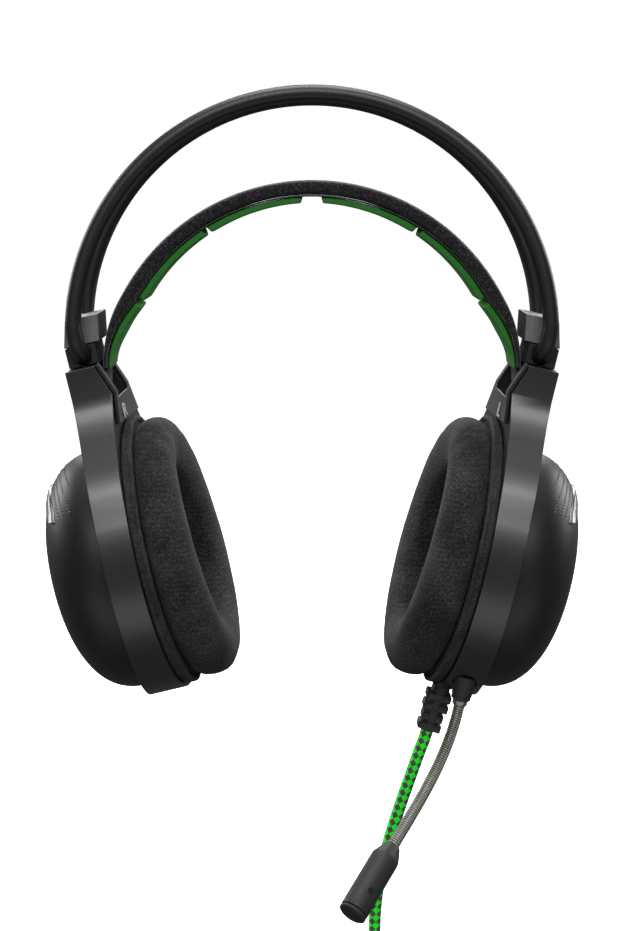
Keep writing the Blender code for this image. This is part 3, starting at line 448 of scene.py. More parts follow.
neckValues = {"radius": 2.15 * mm, "pitch": 0.85 * mm, "depth": 0.09, "handle": 20.0 * mm,
              "start": Vector((54.5, -24.0, -184.6)) * mm, "end": Vector((28.2, -58.0, -226.3)) * mm,
              "startDirection": Vector((-0.20, -0.15, -0.97)), "endDirection": Vector((-0.51, -0.64, -0.575)),
              "splits": (-0.012, 0.17, 0.505, 1.0), "joints": (0.0, 0.34, 0.67), "bendReach": 7.0 * mm,
              "firstBendBack": 0.2 * mm, "firstBendReach": 4.0 * mm}


def springWire():
    # stainless steel wire wound close under a clear sleeve, its turns painted with a highlight on the crests
    # and shade in the gaps
    material, tree, shader = startMaterial("woundStainlessSteel", "#8e8c86", 0.34, Metallic=0.65,
                                           Coat_Weight=0.35, Coat_Roughness=0.25)
    lay = addNode(tree, "UVMap", uv_map="lay")
    parts = addNode(tree, "SeparateXYZ", None, {"Vector": lay.outputs["UV"]})
    turns = addNode(tree, "Math", {1: 1 / neckValues["pitch"]},
                    {0: parts.outputs["Y"], 2: parts.outputs["X"]}, operation="MULTIPLY_ADD")
    along = addNode(tree, "Math", None, {0: turns.outputs["Value"]}, operation="FRACT")
    # painted shade in the gaps between turns, a painted highlight on the crests, half-lit flanks between
    gap, flankHalfLit, crestHighlight = "#1e1c19", "#6a6861", "#a29f97"
    tint = setRamp(addNode(tree, "ValToRGB", None, {"Fac": along.outputs["Value"]}),
                   [(0.0, gap), (0.25, flankHalfLit), (0.5, crestHighlight), (0.75, flankHalfLit), (1.0, gap)])
    tree.links.new(tint.outputs["Color"], shader.inputs["Base Color"])
    return material


paintFinish = satinPaint()
paleFinish = palePaint()
coverFinish = moulded("mouldedBlackAbs", "#0d0d0d", "#151515", (0.45, 0.55), 0.35, 0.008, 0.2)
shellFinish = moulded("semiGlossAbs", "#0e0e0e", "#131313", (0.42, 0.48), 0.6, 0.003, 0.1)
micFinish = moulded("satinBlackAbs", "#151516", "#1b1b1c", (0.52, 0.60), 0.4, 0.006, 0.2)
tubeFinish = softRubber("softTouchSheath", "#131313", "#171717", (0.42, 0.48))
reliefFinish = softRubber("mouldedPvc", "#121212", "#1d1d1d", (0.42, 0.58))
wheelFinish = softRubber("gripRubber", "#131313", "#1e1e1e", (0.55, 0.7))
cushionFinish = knitFabric("brushedKnit", "#070707", "#4b4947", 0.05)
plateFinish = knitFabric("bondedKnit", "#0d0d0d", "#454443", 0.06, 0.8, 8.0)
clothFinish = knitFabric("acousticCloth", "#0b0b0b", "#2a2a2a", 0.05, 1.2, 10.0)
elasticFinish = knitFabric("elasticWebbing", "#0c0c0c", "#262626", 0.05, 0.7, 6.0)
strapFinish = airMesh()
foamFinish = greenFoam()
wireFinish = springWire()
# the dots are a lighter grey than the shell: a painted highlight standing in for the glints on their edges
dotHighlightFinish = moulded("absDotsPaintedHighlight", "#3c3c3c", "#4a4a4a", (0.30, 0.36))
printFinish = moulded("padPrintedInk", "#bcbcbc", "#cccccc", (0.5, 0.6))
trimFinish = bareMetal("satinChrome", "#7c7d7f", "#86878a", (0.26, 0.30))
steelFinish = bareMetal("drawnSteel", "#8a8b8d", "#a5a6a8", (0.30, 0.42))
goldFinish = bareMetal("goldPlate", "#c99a45", "#e0b766", (0.18, 0.28))
nylonFinish = moulded("naturalNylon", "#b8b6a8", "#cbc9bd", (0.45, 0.55))
filmFinish = moulded("pressedMylar", "#8d8774", "#a9a38e", (0.22, 0.3), 1.4)
boardFinish = moulded("glassEpoxyBoard", "#0e3d1f", "#165a2e", (0.35, 0.45))
print("finishes made")


def roundEdges(work, rims, width, segments=3):
    bmesh.ops.bevel(work, geom=rims, offset=width, segments=segments, profile=0.5, affect="EDGES",
                    material=-1, clamp_overlap=True)


def refine(node, bevel, segments=3, angle=30.0):
    # a merged copy of a part with its flats made whole and its edges rounded
    work = bmesh.new()
    work.from_mesh(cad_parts[node].data)
    bmesh.ops.remove_doubles(work, verts=work.verts, dist=0.000002)
    bmesh.ops.dissolve_limit(work, angle_limit=math.radians(1.0), verts=work.verts, edges=work.edges)
    sharp = math.radians(angle)
    rims = [edge for edge in work.edges if edge.is_manifold and edge.calc_face_angle(0) > sharp]
    roundEdges(work, rims, bevel, segments)
    return work


def weighNormals(piece):
    weigh = piece.modifiers.new("evenShading", "WEIGHTED_NORMAL")
    weigh.keep_sharp = True
    return piece


def addPart(node, name, finish, body, bevel, segments=3, angle=30.0):
    # a part of the frame with its edges rounded
    work = refine(node, bevel, segments, angle)
    return weighNormals(makePiece(work, name, body, finish, (node,)))


def turned(profile, steps, place):
    # a profile of (radius, height) in millimetres, spun round the axis that place puts it on
    work = bmesh.new()
    corners = [work.verts.new((radius * mm, 0, height * mm)) for radius, height in profile]
    edges = [work.edges.new(pair) for pair in zip(corners, corners[1:])]
    bmesh.ops.spin(work, geom=corners + edges, cent=(0, 0, 0), axis=(0, 0, 1), dvec=(0, 0, 0),
                   angle=2 * math.pi, steps=steps, use_merge=True)
    bmesh.ops.remove_doubles(work, verts=work.verts, dist=0.000005)
    bmesh.ops.recalc_face_normals(work, faces=work.faces)
    bmesh.ops.transform(work, matrix=place, verts=work.verts)
    return work


def axisAt(start, direction):
    turn = Vector(direction).to_track_quat("Z", "Y").to_matrix().to_4x4()
    return Matrix.Translation(Vector(start)) @ turn


def finishNode(node, finish):
    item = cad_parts[node]
    item.data.materials.clear()
    item.data.materials.append(finish)


tubeValues = {"radius": 3.0 * mm, "spacing": 38.0 * mm, "arcRadius": 87.7 * mm, "arcCentreZ": -49.3 * mm,
              "bendRadius": 8.0 * mm, "stubRadius": 2.4 * mm, "stubInnerY": 3.5 * mm}
pivotPlace = cupFrame @ Vector((96.0 * mm, 0, -37.0 * mm))


def tubeRoute(front):
    values = tubeValues
    outerY = values["spacing"] / 2
    half = []
    for step in range(49):
        angle = math.radians(88.5) * step / 48
        half.append(Vector((values["arcRadius"] * math.sin(angle), outerY,
                            values["arcCentreZ"] + values["arcRadius"] * math.cos(angle))))
    foot = half[-1].copy()
    drop = foot.z - pivotPlace.z
    for step in range(1, 15):
        angle = math.radians(90) * step / 14
        half.append(Vector((foot.x + (pivotPlace.x - foot.x) * step / 14,
                            outerY - values["bendRadius"] * (1 - math.cos(angle)),
                            foot.z - drop * math.sin(angle))))
    radii = [values["radius"]] * len(half)
    bendY = outerY - values["bendRadius"]
    for y in (bendY - 0.5 * mm, bendY - 0.7 * mm, values["stubInnerY"]):
        half.append(Vector((pivotPlace.x, y, pivotPlace.z)))
    radii += [values["radius"]] + [values["stubRadius"]] * 2
    route = [Vector((-place.x, place.y, place.z)) for place in reversed(half[1:])] + half
    if front:
        route = [Vector((place.x, -place.y, place.z)) for place in route]
    return route, list(reversed(radii[1:])) + radii


for name, front in (("tube_front", True), ("tube_rear", False)):
    route, radii = tubeRoute(front)
    work = sweep(pathStations(route, radii), 28)
    makePiece(work, name.replace("tube_", "headband_tube_"), "band", tubeFinish, (name,))
print("headband tubes made")


strapValues = {"halfWidth": 14.0 * mm, "radius": 81.1 * mm, "centreZ": -73.3 * mm,
               "arcEnd": math.radians(64.6), "end": Vector((77.8, 0, -64.0)) * mm, "handle": 9.0 * mm,
               "padding": 4.9 * mm, "paddingEnd": 1.2 * mm, "backing": 2.0 * mm, "backingEnd": 0.8 * mm,
               "pad": 2.2 * mm, "padSwell": 0.4 * mm, "padTip": 0.4 * mm, "padHalfWidth": 13.0 * mm,
               "gap": 0.3 * mm, "seam": 0.06 * mm, "crown": 0.22, "meshShare": 0.7,
               "padStart": 0.012, "padStop": 0.004, "lastPadStop": 0.996}


def strapLine():
    # points and inward normals of the strap's upper surface, from its middle to its left end
    values = strapValues
    line = []
    for step in range(61):
        angle = values["arcEnd"] * step / 60
        outward = Vector((math.sin(angle), 0, math.cos(angle)))
        line.append((Vector((0, 0, values["centreZ"])) + outward * values["radius"], -outward))
    corner = line[-1][0]
    tangent = Vector((math.cos(values["arcEnd"]), 0, -math.sin(values["arcEnd"])))
    handle = values["handle"]
    last = corner
    for step in range(1, 25):
        place = bezier(corner, corner + tangent * handle, values["end"] + Vector((0, 0, handle)),
                       values["end"], step / 24)
        run = (place - last).normalized()
        line.append((place, Vector((run.z, 0, -run.x))))
        last = place
    return line


strapCurve = strapLine()
strapSteps = [0.0]
for (first, _), (second, _) in zip(strapCurve, strapCurve[1:]):
    strapSteps.append(strapSteps[-1] + (second - first).length)
strapTotal = strapSteps[-1]


def strapAt(share):
    # the point and the inward normal at a share of the strap, from -1 at its right end to 1 at its left
    distance = abs(share) * strapTotal
    index = 0
    while index < len(strapSteps) - 2 and distance > strapSteps[index + 1]:
        index += 1
    part = (distance - strapSteps[index]) / (strapSteps[index + 1] - strapSteps[index])
    place = strapCurve[index][0].lerp(strapCurve[index + 1][0], part)
    normal = strapCurve[index][1].lerp(strapCurve[index + 1][1], part).normalized()
    if share < 0:
        place = Vector((-place.x, place.y, place.z))
        normal = Vector((-normal.x, normal.y, normal.z))
    return place, normal


def endShare(share):
    # how far the strap has thinned towards its end: 0 over the head, 1 at the arm
    return smoothStep((abs(share) - 0.70) / 0.28)


def paddingDepth(share):
    full = strapValues["padding"]
    return full - (full - strapValues["paddingEnd"]) * endShare(share)


def backingDepth(share):
    full = strapValues["backing"]
    return full - (full - strapValues["backingEnd"]) * endShare(share)


def padTop(share):
    return paddingDepth(share) + backingDepth(share) + 2 * strapValues["gap"]


def padBottom(share):
    share = abs(share)
    full = strapValues["pad"] + strapValues["padSwell"] * smoothStep(share / 0.35)
    return padTop(share) + full - (full - strapValues["padTip"]) * smoothStep((share - 0.86) / 0.14)


def bandStations(upper, lower, halfWidth, first, last, steps, ends=None):
    # stations for a layer of the strap between two depths; ends(share) thins it towards its ends
    stations = []
    walked = 0.0
    before = None
    for step in range(steps + 1):
        share = first + (last - first) * step / steps
        place, normal = strapAt(share)
        thin = ends(share) if ends else 1.0
        top = upper(share)
        deep = (lower(share) - top) * thin
        centre = place + normal * (top + deep / 2)
        if before is not None:
            walked += (centre - before).length
        before = centre
        across = Vector((0, 1, 0)) * halfWidth * (0.86 + 0.14 * thin)
        run = normal.cross(Vector((0, 1, 0)))
        matrix = Matrix((across, normal * (deep / 2), run)).transposed().to_4x4()
        matrix.translation = centre
        stations.append((matrix, walked))
    return stations


def tapered(first, last, reach):
    # full thickness except within reach of either end, where it rounds off
    def ends(share):
        inside = min(share - first, last - share) * strapTotal
        return math.sqrt(max(0.0, 1 - (1 - min(1.0, inside / reach)) ** 2)) * 0.9 + 0.1
    return ends


def meshTop(share):
    return strapValues["crown"] * paddingDepth(share)


def meshBottom(share):
    return paddingDepth(share) + strapValues["gap"] + strapValues["meshShare"] * backingDepth(share)


def bandBottom(share):
    return padTop(share) - strapValues["gap"] / 2


padding = sweep(bandStations(meshTop, meshBottom, strapValues["halfWidth"], -1.0, 1.0, 200,
                             tapered(-1.0, 1.0, 0.8 * mm)), 40, 0.38)
paddingPiece = makePiece(padding, "strap_mesh_padding", "strap", strapFinish,
                         ("strap_padding",))
backing = sweep(bandStations(lambda share: meshBottom(share) + strapValues["seam"], bandBottom,
                             strapValues["halfWidth"] - 0.5 * mm, -1.0, 1.0, 120), 32, 0.22)
makePiece(backing, "strap_backing_strip", "strap", coverFinish, ("strap_backing",))
# the pads part near these eighteenths of the strap's arc, with a small gap between them
partings = [strapValues["radius"] * strapValues["arcEnd"] * step / 18 / strapTotal for step in (1, 9, 17)]
padStart, padStop = strapValues["padStart"], strapValues["padStop"]
padRuns = (("upper", partings[0] * 0.5 + padStart, partings[1] - padStop),
           ("middle", partings[1] + padStart, partings[2] - padStop),
           ("lower", partings[2] + padStart, strapValues["lastPadStop"]))
for padName, near, far in padRuns:
    for side, sideName in ((1, "left"), (-1, "right")):
        layer = bandStations(lambda share: bandBottom(share) + strapValues["seam"], padBottom,
                             strapValues["padHalfWidth"], near, far, 60, tapered(near, far, 1.2 * mm))
        padPiece = makePiece(sweep(layer, 32, 0.22), sideName + "_foam_pad_" + padName, "strap", foamFinish,
                             (sideName + "_pad_" + padName,), side)
for sideName in ("left", "right"):
    makePiece(refine(sideName + "_strap_tail", 0.2 * mm), sideName + "_elastic_tail", "strap", elasticFinish,
              (sideName + "_strap_tail",))
    addPart(sideName + "_strap_clip", sideName + "_sliding_clip", coverFinish, "strap",
            0.5 * mm)
print("strap made")


ringValues = {"centreZ": -116.0 * mm, "halfHeight": 52.5 * mm, "halfDepth": 44.0 * mm, "wall": 3.0 * mm}
domeValues = {"centreZ": -119.0 * mm, "halfHeight": 45.5 * mm, "halfDepth": 38.5 * mm, "rise": 26.0 * mm,
              "flangeX": 102.8 * mm, "power": 2.4, "wall": 2.0 * mm}
dotValues = {"centreZ": -115.0 * mm, "rows": (34.2, 35.7, 37.2, 38.7, 40.2), "spacing": 1.5, "spread": 48.0,
             "radius": 0.5 * mm, "height": 0.36 * mm}


def domePoint(y, z):
    # a point of the shell's outside at (y, z) in the cup frame
    values = domeValues
    reach = math.hypot(y / values["halfDepth"], (z - values["centreZ"]) / values["halfHeight"])
    rise = max(0.0, 1 - reach ** values["power"]) ** (1 / values["power"])
    return Vector((values["flangeX"] + values["rise"] * rise, y, z)), reach


def addShell(sideName, side, body):
    values = domeValues
    work = bmesh.new()
    bmesh.ops.create_uvsphere(work, u_segments=96, v_segments=56, radius=1.0)
    bmesh.ops.bisect_plane(work, geom=work.verts[:] + work.edges[:] + work.faces[:], dist=0.0001,
                           plane_co=(0, 0, 0), plane_no=(0, 0, -1), clear_outer=True)
    for corner in work.verts:
        reach = math.hypot(corner.co.x, corner.co.y)
        corner.co.z = abs(1 - reach ** values["power"]) ** (1 / values["power"]) if reach < 0.9999 else 0.0
    place = Matrix(((0, 0, values["rise"], values["flangeX"]), (values["halfDepth"], 0, 0, 0),
                    (0, values["halfHeight"], 0, values["centreZ"]), (0, 0, 0, 1)))
    bmesh.ops.transform(work, matrix=place, verts=work.verts)
    bmesh.ops.recalc_face_normals(work, faces=work.faces)
    rim = [edge for edge in work.edges if edge.is_boundary]
    widened = bmesh.ops.extrude_edge_only(work, edges=rim)["geom"]
    for corner in widened:
        if isinstance(corner, bmesh.types.BMVert):
            y = corner.co.y / values["halfDepth"]
            z = (corner.co.z - values["centreZ"]) / values["halfHeight"]
            inside = ringValues["wall"] + 0.3 * mm
            corner.co.y = y * (ringValues["halfDepth"] - inside)
            corner.co.z = ringValues["centreZ"] + z * (ringValues["halfHeight"] - inside)
    bmesh.ops.recalc_face_normals(work, faces=work.faces)
    if sum(face.normal.x for face in work.faces) < 0:
        bmesh.ops.reverse_faces(work, faces=work.faces)
    bmesh.ops.transform(work, matrix=cupFrame, verts=work.verts)
    shell = makePiece(work, sideName + "_shell", body, shellFinish,
                      (sideName + "_outer_shell",), side, 45.0)
    wall = shell.modifiers.new("wall", "SOLIDIFY")
    wall.thickness = values["wall"]
    wall.offset = -1


def addGripDots(sideName, side, body):
    # rows of small raised dots over the front and rear of the shell's shoulder
    values = dotValues
    work = bmesh.new()
    for rowNumber, rowMm in enumerate(values["rows"]):
        radius = rowMm * mm
        count = int(math.radians(2 * values["spread"]) * rowMm / values["spacing"])
        for step in range(count + 1):
            angle = math.radians(values["spread"]) * (2 * (step + 0.5 * (rowNumber % 2)) / count - 1)
            y = radius * math.sin(angle)
            z = values["centreZ"] + radius * math.cos(angle)
            place, reach = domePoint(y, z)
            if reach > 0.965 or abs(angle) > math.radians(values["spread"]):
                continue
            aside = domePoint(y + 0.2 * mm, z)[0] - place
            above = domePoint(y, z + 0.2 * mm)[0] - place
            normal = aside.cross(above).normalized()
            if normal.x < 0:
                normal.negate()
            bmesh.ops.create_cone(work, cap_ends=True, segments=10, radius1=values["radius"],
                                  radius2=values["radius"] * 0.55, depth=values["height"],
                                  matrix=axisAt(place, normal))
    bmesh.ops.transform(work, matrix=cupFrame, verts=work.verts)
    makePiece(work, sideName + "_grip_dots", body, dotHighlightFinish, (), side, 60.0)


cushionValues = {"backX": 84.8 * mm, "faceX": 69.9 * mm, "slope": 0.055, "halfHeight": 51.2 * mm,
                 "halfDepth": 43.0 * mm, "earHalfHeight": 29.0 * mm, "earHalfDepth": 20.0 * mm,
                 "voxel": 2.6 * mm, "pressure": 400.0, "pointMass": 0.0003, "stiffness": 15.0,
                 "cap": 1.8 * mm, "frames": 20, "inset": 0.35 * mm, "meanRadius": 47.0 * mm}
weltValues = {"x": 84.95 * mm, "inside": 0.7 * mm, "radius": 0.95 * mm, "ripple": 0.15, "stitch": 2.2 * mm}
gasketValues = {"x": 87.80 * mm, "inside": 1.6 * mm, "radius": 0.45 * mm, "ripple": 0.0, "stitch": 2.2 * mm}


def cushionStations(steps):
    # a squarish section swept round the ear opening, thicker towards the bottom
    values = cushionValues
    inset = values["inset"]
    stations = []
    for step in range(steps + 1):
        angle = 2 * math.pi * step / steps
        outer = Vector((0, (values["halfDepth"] - inset) * math.cos(angle),
                        ringValues["centreZ"] + (values["halfHeight"] - inset) * math.sin(angle)))
        inner = Vector((0, (values["earHalfDepth"] + inset) * math.cos(angle),
                        ringValues["centreZ"] + (values["earHalfHeight"] + inset) * math.sin(angle)))
        middle = (outer + inner) / 2
        slope = values["slope"] * (middle.z - ringValues["centreZ"])
        face = values["faceX"] + slope + inset
        back = values["backX"] - inset * 0.4
        middle.x = (face + back) / 2
        lean = values["slope"] * (outer.z - inner.z) / 2
        wide = (outer - inner) / 2 + Vector((lean * 0.5, 0, 0))
        run = Vector((0, -math.sin(angle), math.cos(angle)))
        matrix = Matrix((wide, Vector(((face - back) / 2, 0, 0)), run)).transposed().to_4x4()
        matrix.translation = middle
        stations.append((matrix, angle * values["meanRadius"]))
    return stations


def inflate(mesh):
    # fill the cover with air in the cloth solver; no point moves further than the cap
    values = cushionValues
    scene = bpy.context.scene
    item = bpy.data.objects.new("cover", mesh)
    scene.collection.objects.link(item)
    remesh = item.modifiers.new("voxels", "REMESH")
    remesh.mode = "VOXEL"
    remesh.voxel_size = values["voxel"]
    graph = bpy.context.evaluated_depsgraph_get()
    even = bpy.data.meshes.new_from_object(item.evaluated_get(graph))
    item.modifiers.clear()
    item.data = even
    rest = [corner.co.copy() for corner in even.vertices]
    cloth = item.modifiers.new("cloth", "CLOTH")
    cloth.settings.use_pressure = True
    cloth.settings.uniform_pressure_force = values["pressure"]
    cloth.settings.quality = 4
    cloth.settings.mass = values["pointMass"]
    cloth.settings.tension_stiffness = values["stiffness"]
    cloth.settings.compression_stiffness = values["stiffness"]
    cloth.settings.effector_weights.gravity = 0.0
    cloth.point_cache.frame_start = 1
    cloth.point_cache.frame_end = values["frames"]
    for number in range(1, values["frames"] + 1):
        scene.frame_set(number)
    graph = bpy.context.evaluated_depsgraph_get()
    puffed = bpy.data.meshes.new_from_object(item.evaluated_get(graph))
    bpy.data.objects.remove(item, do_unlink=True)
    moves = []
    for corner, before in zip(puffed.vertices, rest):
        move = corner.co - before
        if move.length > values["cap"]:
            corner.co = before + move.normalized() * values["cap"]
        corner.co.x = min(corner.co.x, values["backX"])  # flat where it rests on the plate
        moves.append((corner.co - before).length * 1000)
    moves.sort()
    print("cushion cover filled: points moved", round(moves[len(moves) // 2], 2), "mm at the median,",
          round(moves[-1], 2), "mm at the most")
    scene.frame_set(1)
    return puffed


def cushionMesh():
    work = sweep(cushionStations(96), 40, 0.5, closed=True)
    mesh = bpy.data.meshes.new("cushion")
    work.to_mesh(mesh)
    work.free()
    mesh = inflate(mesh)
    return mesh


sharedCushion = cushionMesh()


def addCushion(sideName, side, body):
    work = bmesh.new()
    work.from_mesh(sharedCushion)
    for _ in range(2):
        bmesh.ops.smooth_vert(work, verts=work.verts, factor=0.5, use_axis_x=True, use_axis_y=True,
                              use_axis_z=True)
    bmesh.ops.transform(work, matrix=earFrame, verts=work.verts)
    cushion = makePiece(work, sideName + "_cushion", body, cushionFinish,
                        (sideName + "_ear_cushion",), side, 180.0)
    smooth = cushion.modifiers.new("smooth", "SUBSURF")
    smooth.levels = smooth.render_levels = 1
    # the welt closes the cover against the plate, and the gasket closes the plate against the ring
    addBead(sideName + "_cushion_welt", weltValues, plateFinish, side, body)
    addBead(sideName + "_plate_gasket", gasketValues, coverFinish, side, body)


def addBead(name, values, finish, side, body):
    # a round bead along the cushion's outline, rippled where it is stitched
    deep = cushionValues["halfDepth"] - values["inside"]
    high = cushionValues["halfHeight"] - values["inside"]
    route = []
    for step in range(97):
        angle = 2 * math.pi * step / 96
        z = ringValues["centreZ"] + high * math.sin(angle)
        route.append(Vector((values["x"], deep * math.cos(angle), z)))
    bead = sweep(pathStations(route, values["radius"]), 12, swell=lambda angle, walked: 1 + values["ripple"]
                 * math.sin(2 * math.pi * walked / values["stitch"]), closed=True)
    bmesh.ops.transform(bead, matrix=earFrame, verts=bead.verts)
    makePiece(bead, name, body, finish, (), side)


markValues = {"size": 7.5 * mm, "height": 0.12 * mm, "stretch": 1.8, "yawShare": 0.6,
              "x": 86.25 * mm, "y": -8.0 * mm, "z": -60.6 * mm}


def addMark(sideName, side, body):
    # a small raised letter that tells left from right
    values = markValues
    text = bpy.data.curves.new(sideName + "Letter", "FONT")
    text.body = "L" if side > 0 else "R"
    text.size = values["size"]
    text.extrude = values["height"]
    text.align_x = "CENTER"
    text.align_y = "CENTER"
    item = bpy.data.objects.new("letter", text)
    bpy.context.scene.collection.objects.link(item)
    graph = bpy.context.evaluated_depsgraph_get()
    mesh = bpy.data.meshes.new_from_object(item.evaluated_get(graph))
    bpy.data.objects.remove(item, do_unlink=True)
    work = bmesh.new()
    work.from_mesh(mesh)
    bmesh.ops.scale(work, vec=(values["stretch"], 1, 1), verts=work.verts)
    bmesh.ops.remove_doubles(work, verts=work.verts, dist=0.000002)
    # it stands on the cover's inner face and reads from the side that the face looks to
    x = values["x"] * side
    stand = Matrix(((0, 0, -side, x), (-side, 0, 0, values["y"]), (0, 1, 0, values["z"]), (0, 0, 0, 1)))
    turn = Matrix.Rotation(cupValues["tilt"] * side, 4, "Y")
    lean = turn @ turnAbout(x, cupValues["yaw"] * values["yawShare"] * side)
    bmesh.ops.transform(work, matrix=lean @ stand, verts=work.verts)
    makePiece(work, sideName + "_side_mark", body, printFinish)


def addCap(sideName, side, body):
    cap = refine(sideName + "_arm_cap", 0.6 * mm)
    for face in cap.faces:  # the side turned towards the strap takes the black plastic, painted shade for that side
        face.material_index = 1 if face.normal.x * side < -0.8 else 0
    weighNormals(makePiece(cap, sideName + "_arm_cap_plate", body, (paleFinish, coverFinish),
                           (sideName + "_arm_cap",)))


for side, sideName in ((1, "left"), (-1, "right")):
    body = sideName + "_cup"
    addPart(sideName + "_arm_frame", sideName + "_arm_and_ring", paintFinish, body,
            0.45 * mm, 3, 32.0)
    addCap(sideName, side, body)
    for part, name, finish, slotName, bevel in (
            ("_pivot_block", "_tube_block", coverFinish, "black_plastic", 0.5 * mm),
            ("_inner_cover", "_slot_cover", coverFinish, "black_plastic", 0.35 * mm),
            ("_cushion_plate", "_fabric_plate", plateFinish, "mesh_fabric", 0.6 * mm)):
        addPart(sideName + part, sideName + name, finish, body, bevel)
    addPart(sideName + "_trim_arc", sideName + "_silver_arc", trimFinish, body, 0.15 * mm, 2, 40.0)
    addShell(sideName, side, body)
    addGripDots(sideName, side, body)
    addCushion(sideName, side, body)
    addMark(sideName, side, body)
    addPart(sideName + "_driver_cloth", sideName + "_acoustic_cloth", clothFinish, body,
            0.2 * mm, 2)
    for part, finish in (("_front_bush", nylonFinish), ("_rear_bush", nylonFinish), ("_baffle", coverFinish),
                         ("_driver_basket", coverFinish), ("_driver_magnet", steelFinish),
                         ("_diaphragm", filmFinish)):
        finishNode(sideName + part, finish)
print("ear cups made")


def neckPoint(share):
    values = neckValues
    return bezier(values["start"], values["start"] + values["startDirection"] * values["handle"],
                  values["end"] - values["endDirection"] * values["handle"], values["end"], share)


neckRuns = (("lower", "left_cup", "mic_lower"), ("middle", "mic_lower", "mic_middle"),
            ("upper", "mic_middle", "mic_upper"))
walkedNeck = 0.0
for number, (part, bodyAbove, bodyBelow) in enumerate(neckRuns):
    first, last = neckValues["splits"][number:number + 2]
    coarse = [neckPoint(first + (last - first) * step / 30) for step in range(31)]
    length = sum((b - a).length for a, b in zip(coarse, coarse[1:]))
    steps = int(length / (neckValues["pitch"] / 7))  # seven rings of points to each turn of the wire
    route = [neckPoint(first + (last - first) * step / steps) for step in range(steps + 1)]
    stations = [(matrix, walked + walkedNeck)
                for matrix, walked in pathStations(route, neckValues["radius"], (0, 1, 0))]
    walkedNeck += length
    thread = sweep(stations, 24, swell=lambda angle, walked: 1 - neckValues["depth"] * 0.5 * (1 + math.cos(
        2 * math.pi * walked / neckValues["pitch"] + angle)))
    piece = makePiece(thread, "gooseneck_" + part, None, wireFinish, ("mic_neck_" + part,), 1, 60.0)
    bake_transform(piece)

bossAxis = Vector((-math.sin(cupValues["tilt"]), 0, -math.cos(cupValues["tilt"])))
bossPlace = axisAt(neckValues["start"] - bossAxis * 9.4 * mm, bossAxis)
boss = turned([(0, 0), (3.9, 0), (4.2, 0.3), (4.1, 2.6), (3.75, 7.0), (3.72, 7.3), (3.45, 7.5), (3.45, 7.8),
               (3.62, 8.0), (3.55, 8.6), (3.2, 8.9), (2.5, 8.9), (2.45, 8.0), (0, 8.0)], 48, bossPlace)
makePiece(boss, "microphone_boss", "left_cup", micFinish, ("mic_boss",))
crimp = turned([(2.62, 8.3), (2.75, 9.0), (2.75, 10.6), (2.5, 11.0), (2.2, 11.0), (2.2, 8.3), (2.62, 8.3)],
               32, bossPlace)
makePiece(crimp, "gooseneck_crimp", "left_cup", steelFinish)

capsuleValues = {"radius": 5.0 * mm, "portAlong": 20.0 * mm}
capsuleAxis = neckValues["endDirection"].normalized()
capsulePlace = axisAt(neckValues["end"], capsuleAxis)


def capsuleStations():
    radius = capsuleValues["radius"]
    rings = [(0.0, 2.2 * mm), (0.0, 2.75 * mm), (0.25 * mm, 2.95 * mm), (2.4 * mm, 3.85 * mm),
             (4.6 * mm, 4.75 * mm), (5.2 * mm, radius - 0.06 * mm), (5.7 * mm, radius)]
    rings += [(5.7 * mm + (26.9 - 5.7) * mm * step / 6, radius) for step in range(1, 7)]
    rings += [(27.3 * mm, radius - 0.1 * mm), (27.5 * mm, radius - 0.45 * mm), (27.5 * mm, 3.95 * mm),
              (18.4 * mm, 3.95 * mm), (18.2 * mm, 3.0 * mm)]
    stations = []
    for along, wide in rings:
        matrix = capsulePlace @ Matrix.Translation((0, 0, along)) @ Matrix.Diagonal((wide, wide, 1, 1))
        stations.append((matrix, along))
    return stations


def capsuleSwell(angle, along):
    # the shoulder is cut to eight flats that run out on the round body
    flat = math.cos(math.pi / 8) / math.cos(((angle + math.pi / 8) % (math.pi / 4)) - math.pi / 8)
    share = smoothStep(along / (0.4 * mm)) * (1 - smoothStep((along - 4.2 * mm) / (1.6 * mm)))
    return 1 + (flat * 1.03 - 1) * share


capsule = sweep(capsuleStations(), 64, swell=capsuleSwell)
makePiece(capsule, "microphone_capsule", "mic_upper", micFinish, ("mic_housing",), 1, 24.0)
endCap = turned([(0, 28.6), (3.3, 28.6), (3.6, 28.7), (3.9, 29.0), (4.35, 29.0), (4.9, 28.6), (5.0, 28.2),
                 (4.9, 27.9), (0, 27.9)], 64, capsulePlace)
makePiece(endCap, "microphone_end_cap", "mic_upper", micFinish, ("mic_end_cap",), 1, 28.0)
portSide = (Vector((0, -1, 0)) - capsuleAxis * capsuleAxis.dot(Vector((0, -1, 0)))).normalized()
portPlace = axisAt(neckValues["end"] + capsuleAxis * capsuleValues["portAlong"]
                   + portSide * (capsuleValues["radius"] - 0.02 * mm), portSide)
port = turned([(0, 0.05), (0.95, 0.05), (1.02, 0.14), (1.12, 0.10), (1.2, -0.15), (0, -0.3)], 28, portPlace)
boreFinish = moulded("shadowedBore", "#020202", "#030303", (0.9, 0.95))
makePiece(port, "microphone_port", "mic_upper", boreFinish)
finishNode("mic_element", steelFinish)
print("microphone made")


wheelValues = {"centre": Vector((96.3, 38.6, -112.0)) * mm, "teeth": 40, "toothDepth": 0.05}
wheelPlace = cupFrame @ axisAt(wheelValues["centre"], (1, 0, 0))
# the section, as (along the axle, radius) in millimetres, with a hollow in each face
wheelRings = [(-1.8, 5.8), (-1.8, 6.3), (-1.5, 6.75), (-1.1, 6.98), (1.1, 6.98), (1.5, 6.75), (1.8, 6.3),
              (1.8, 5.8), (1.5, 5.5), (1.5, 2.6), (1.8, 2.4), (1.8, 1.75), (-1.8, 1.75), (-1.8, 2.4),
              (-1.5, 2.6), (-1.5, 5.5), (-1.8, 5.8)]
wheelStations = []
for along, wide in wheelRings:
    scale = Matrix.Diagonal((wide * mm, wide * mm, 1, 1))
    wheelStations.append((wheelPlace @ Matrix.Translation((0, 0, along * mm)) @ scale, wide))


